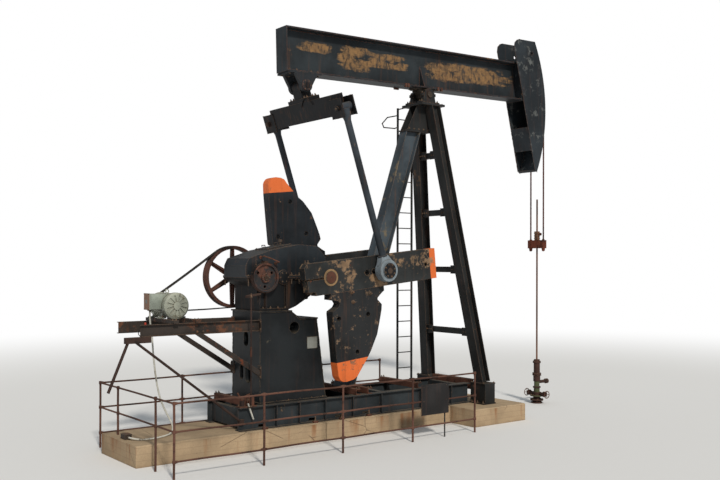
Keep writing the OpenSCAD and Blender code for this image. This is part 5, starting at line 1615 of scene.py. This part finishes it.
@dataclass
class Fence(Assembly):
    """Pipe fence and the board on it."""

    x: tuple[float, float] = (-5.95, -0.16)
    near_y: float = -1.6
    far_y: float = 1.1
    bays: int = 4
    height: float = 1.06
    radius: float = 0.017
    rails: tuple[float, ...] = (0.24, 0.655, 1.05)
    joint: tuple[tuple[float, float], ...] = ((0.018, 0), (0.024, 0.004), (0.024, 0.048), (0.018, 0.052))
    looks = {"fence_front": Look.FENCE, "fence_back": Look.FENCE, "fence_end": Look.FENCE,
             "sign_board": Look.BOARD}

    def pipe(self, shape: Shape, a: Point, b: Point, radius: float, bend: float) -> None:
        """Adds a pipe that is a little bent.

        Args:
            shape: The shape to add to.
            a: Its start.
            b: Its end.
            radius: Its radius.
            bend: How far it strays at most.
        """
        a, b = Vector(a), Vector(b)
        count = max(4, int((b - a).length / 0.12))
        path = []
        for i in range(count + 1):
            at = a.lerp(b, i / count)
            free = min(1.0, 4 * i / count, 4 * (1 - i / count))  # 0 at both ends, which stay in place
            path.append(at + noise.noise_vector(at * 0.9) * bend * free)
        shape.tube(path, radius, Look.FENCE, 12)

    def run(self, name: str, y: float) -> None:
        """Builds one long panel and lets it stand for its CAD node.

        Args:
            name: The CAD node.
            y: Where it stands.
        """
        shape = Shape()
        for z in self.rails:
            self.pipe(shape, (self.x[0], y, z), (self.x[1], y, z), self.radius - 0.003, 0.014)
        for i in range(self.bays + 1):
            x = self.x[0] + (self.x[1] - self.x[0]) * i / self.bays
            self.pipe(shape, (x, y, 0.0), (x, y, self.height), self.radius, 0.004)
            for z in self.rails:
                shape.lathe(Vector((x, y, z - 0.026)), UP, self.joint, Look.FENCE, 14)
                for d in (d for d in (-1, 1) if 0 <= i + d <= self.bays):
                    shape.lathe(Vector((x, y, z)), WELL * d, [(0.02, 0.0), (0.02, 0.045), (0.016, 0.05)],
                                Look.FENCE, 14)
        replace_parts(shape.make(f"{name}_pipes", Body.FRAME, "rusty_steel"), name)

    def fit(self) -> None:
        """Builds the three panels and the board's fastenings."""
        self.run("fence_front", self.near_y)
        self.run("fence_back", self.far_y)
        shape = Shape()
        for z in self.rails[1:]:
            self.pipe(shape, (self.x[0], self.near_y + 0.02, z), (self.x[0], self.far_y - 0.02, z),
                      self.radius - 0.003, 0.012)
        for y, z in ((-1.0, 0.0), (0.37, 0.32)):
            self.pipe(shape, (self.x[0], y, z), (self.x[0], y, self.height), self.radius, 0.004)
            for rail in self.rails[1:]:
                shape.lathe(Vector((self.x[0], y, rail - 0.026)), UP, self.joint, Look.FENCE, 14)
        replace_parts(shape.make("fence_end_pipes", Body.FRAME, "rusty_steel"), "fence_end")
        ties = Shape()
        for x in (-1.38, -0.86):
            for z in (0.655, 0.9):
                ties.lathe(Vector((x, -1.6203, z)), NEAR, [(0.008, -0.002), (0.008, 0.003), (0.005, 0.005)],
                           Look.BOLT, 10)
        for x in (-1.36, -0.88):
            ring = [Vector((x, self.near_y + 0.02 * math.cos(a), self.rails[1] + 0.02 * math.sin(a))) for a in
                    (2 * math.pi * k / 16 for k in range(16))]
            ties.tube(ring, 0.0025, Look.RUST, 6, closed=True)
        ties.make("board_ties", Body.FRAME)


# Stage


@dataclass(frozen=True)
class Camera:
    """The camera, at the place that the picture was taken from."""

    place: Point = (-11.406, -12.969, 2.997)
    turn: float = -37.36
    roll: float = 0.108
    lens: float = 44.74
    shift: float = 0.0319

    def build(self) -> None:
        """Adds the camera to the scene."""
        data = bpy.data.cameras.new("camera")
        data.lens, data.sensor_width, data.shift_y = self.lens, 36.0, self.shift
        data.clip_end = 300
        made = bpy.data.objects.new("camera", data)
        made.matrix_world = (Matrix.Translation(self.place) @ Matrix.Rotation(math.radians(self.turn), 4, "Z")
                             @ Matrix.Rotation(math.radians(90), 4, "X")
                             @ Matrix.Rotation(math.radians(self.roll), 4, "Z"))
        bpy.context.scene.collection.objects.link(made)
        bpy.context.scene.camera = made


@dataclass(frozen=True)
class Studio:
    """Pale floor, white background and soft daylight."""

    sun_from: Point = (-0.31, -0.95, 0.72)
    sun: float = 2.6
    soft: float = 6.0
    sky: float = 0.42
    floor: float = 0.78
    near: float = 9.0
    far: float = 26.0

    def world(self) -> None:
        """Sets the sky's light, with a white background to the camera."""
        world = bpy.data.worlds.new("world")
        bpy.context.scene.world = world
        world.use_nodes = True
        tree = world.node_tree
        tree.nodes.clear()
        path = tree.nodes.new("ShaderNodeLightPath")
        light, white = tree.nodes.new("ShaderNodeBackground"), tree.nodes.new("ShaderNodeBackground")
        light.inputs["Color"].default_value = (0.86, 0.93, 1.0, 1.0)
        light.inputs["Strength"].default_value = self.sky
        white.inputs["Color"].default_value = (1.0, 1.0, 1.0, 1.0)
        white.inputs["Strength"].default_value = 1.0
        mix = tree.nodes.new("ShaderNodeMixShader")
        out = tree.nodes.new("ShaderNodeOutputWorld")
        tree.links.new(path.outputs["Is Camera Ray"], mix.inputs[0])
        tree.links.new(light.outputs[0], mix.inputs[1])
        tree.links.new(white.outputs[0], mix.inputs[2])
        tree.links.new(mix.outputs[0], out.inputs[0])

    def ground(self) -> None:
        """Builds the floor, which turns as white as the background far away."""
        g = Graph("floor")
        flat = g.new("ShaderNodeVectorMath", operation="MULTIPLY")
        g.put(flat.inputs[0], g.coord)
        g.put(flat.inputs[1], (1, 1, 0))
        length = g.new("ShaderNodeVectorMath", operation="LENGTH")
        g.put(length.inputs[0], flat.outputs[0])
        far = g.span(length.outputs["Value"], self.near, self.far)
        diffuse, glow = g.new("ShaderNodeBsdfDiffuse"), g.new("ShaderNodeEmission")
        g.put(diffuse.inputs[0], (self.floor, self.floor * 0.985, self.floor * 0.96))
        g.put(glow.inputs[0], (1.0, 1.0, 1.0))
        g.put(glow.inputs[1], 1.0)
        mix = g.new("ShaderNodeMixShader")
        g.put(mix.inputs[0], far)
        g.put(mix.inputs[1], diffuse.outputs[0])
        g.put(mix.inputs[2], glow.outputs[0])
        g.put(g.new("ShaderNodeOutputMaterial").inputs[0], mix.outputs[0])
        mesh = bpy.data.meshes.new("floor")
        size = 120
        mesh.from_pydata([(-size, -size, 0), (size, -size, 0), (size, size, 0), (-size, size, 0)], [],
                         [(0, 1, 2, 3)])
        mesh.materials.append(g.material)
        made = bpy.data.objects.new("floor", mesh)
        bpy.context.scene.collection.objects.link(made)

    def lamps(self) -> None:
        """Adds the soft sun."""
        data = bpy.data.lights.new("sun", "SUN")
        data.energy, data.angle, data.color = self.sun, math.radians(self.soft), (1.0, 0.95, 0.87)
        made = bpy.data.objects.new("sun", data)
        made.rotation_euler = Vector(self.sun_from).to_track_quat("Z", "Y").to_euler()
        bpy.context.scene.collection.objects.link(made)

    def build(self) -> None:
        """Builds the stage."""
        self.world()
        self.ground()
        self.lamps()
        bpy.context.scene.view_settings.view_transform = "Standard"


def main() -> None:
    """Builds the camera, the assemblies and the stage round the frame."""
    logging.basicConfig(level=logging.INFO, format="%(name)s: %(message)s")
    noise.seed_set(SEED)  # without it noise_vector starts from the clock
    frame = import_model()
    Camera().build()
    for assembly in (Conduit(), Foundation(), Pedestal(), Gearbox(), Post(), Motor(), BeltDrive(), Brake(),
                     Cranks(), Beam(), Hanger(), Well(), Fence()):
        LOG.info("%s", type(assembly).__name__)
        assembly.build(frame["nodes"])
    Studio().build()


if __name__ == "__main__":
    main()
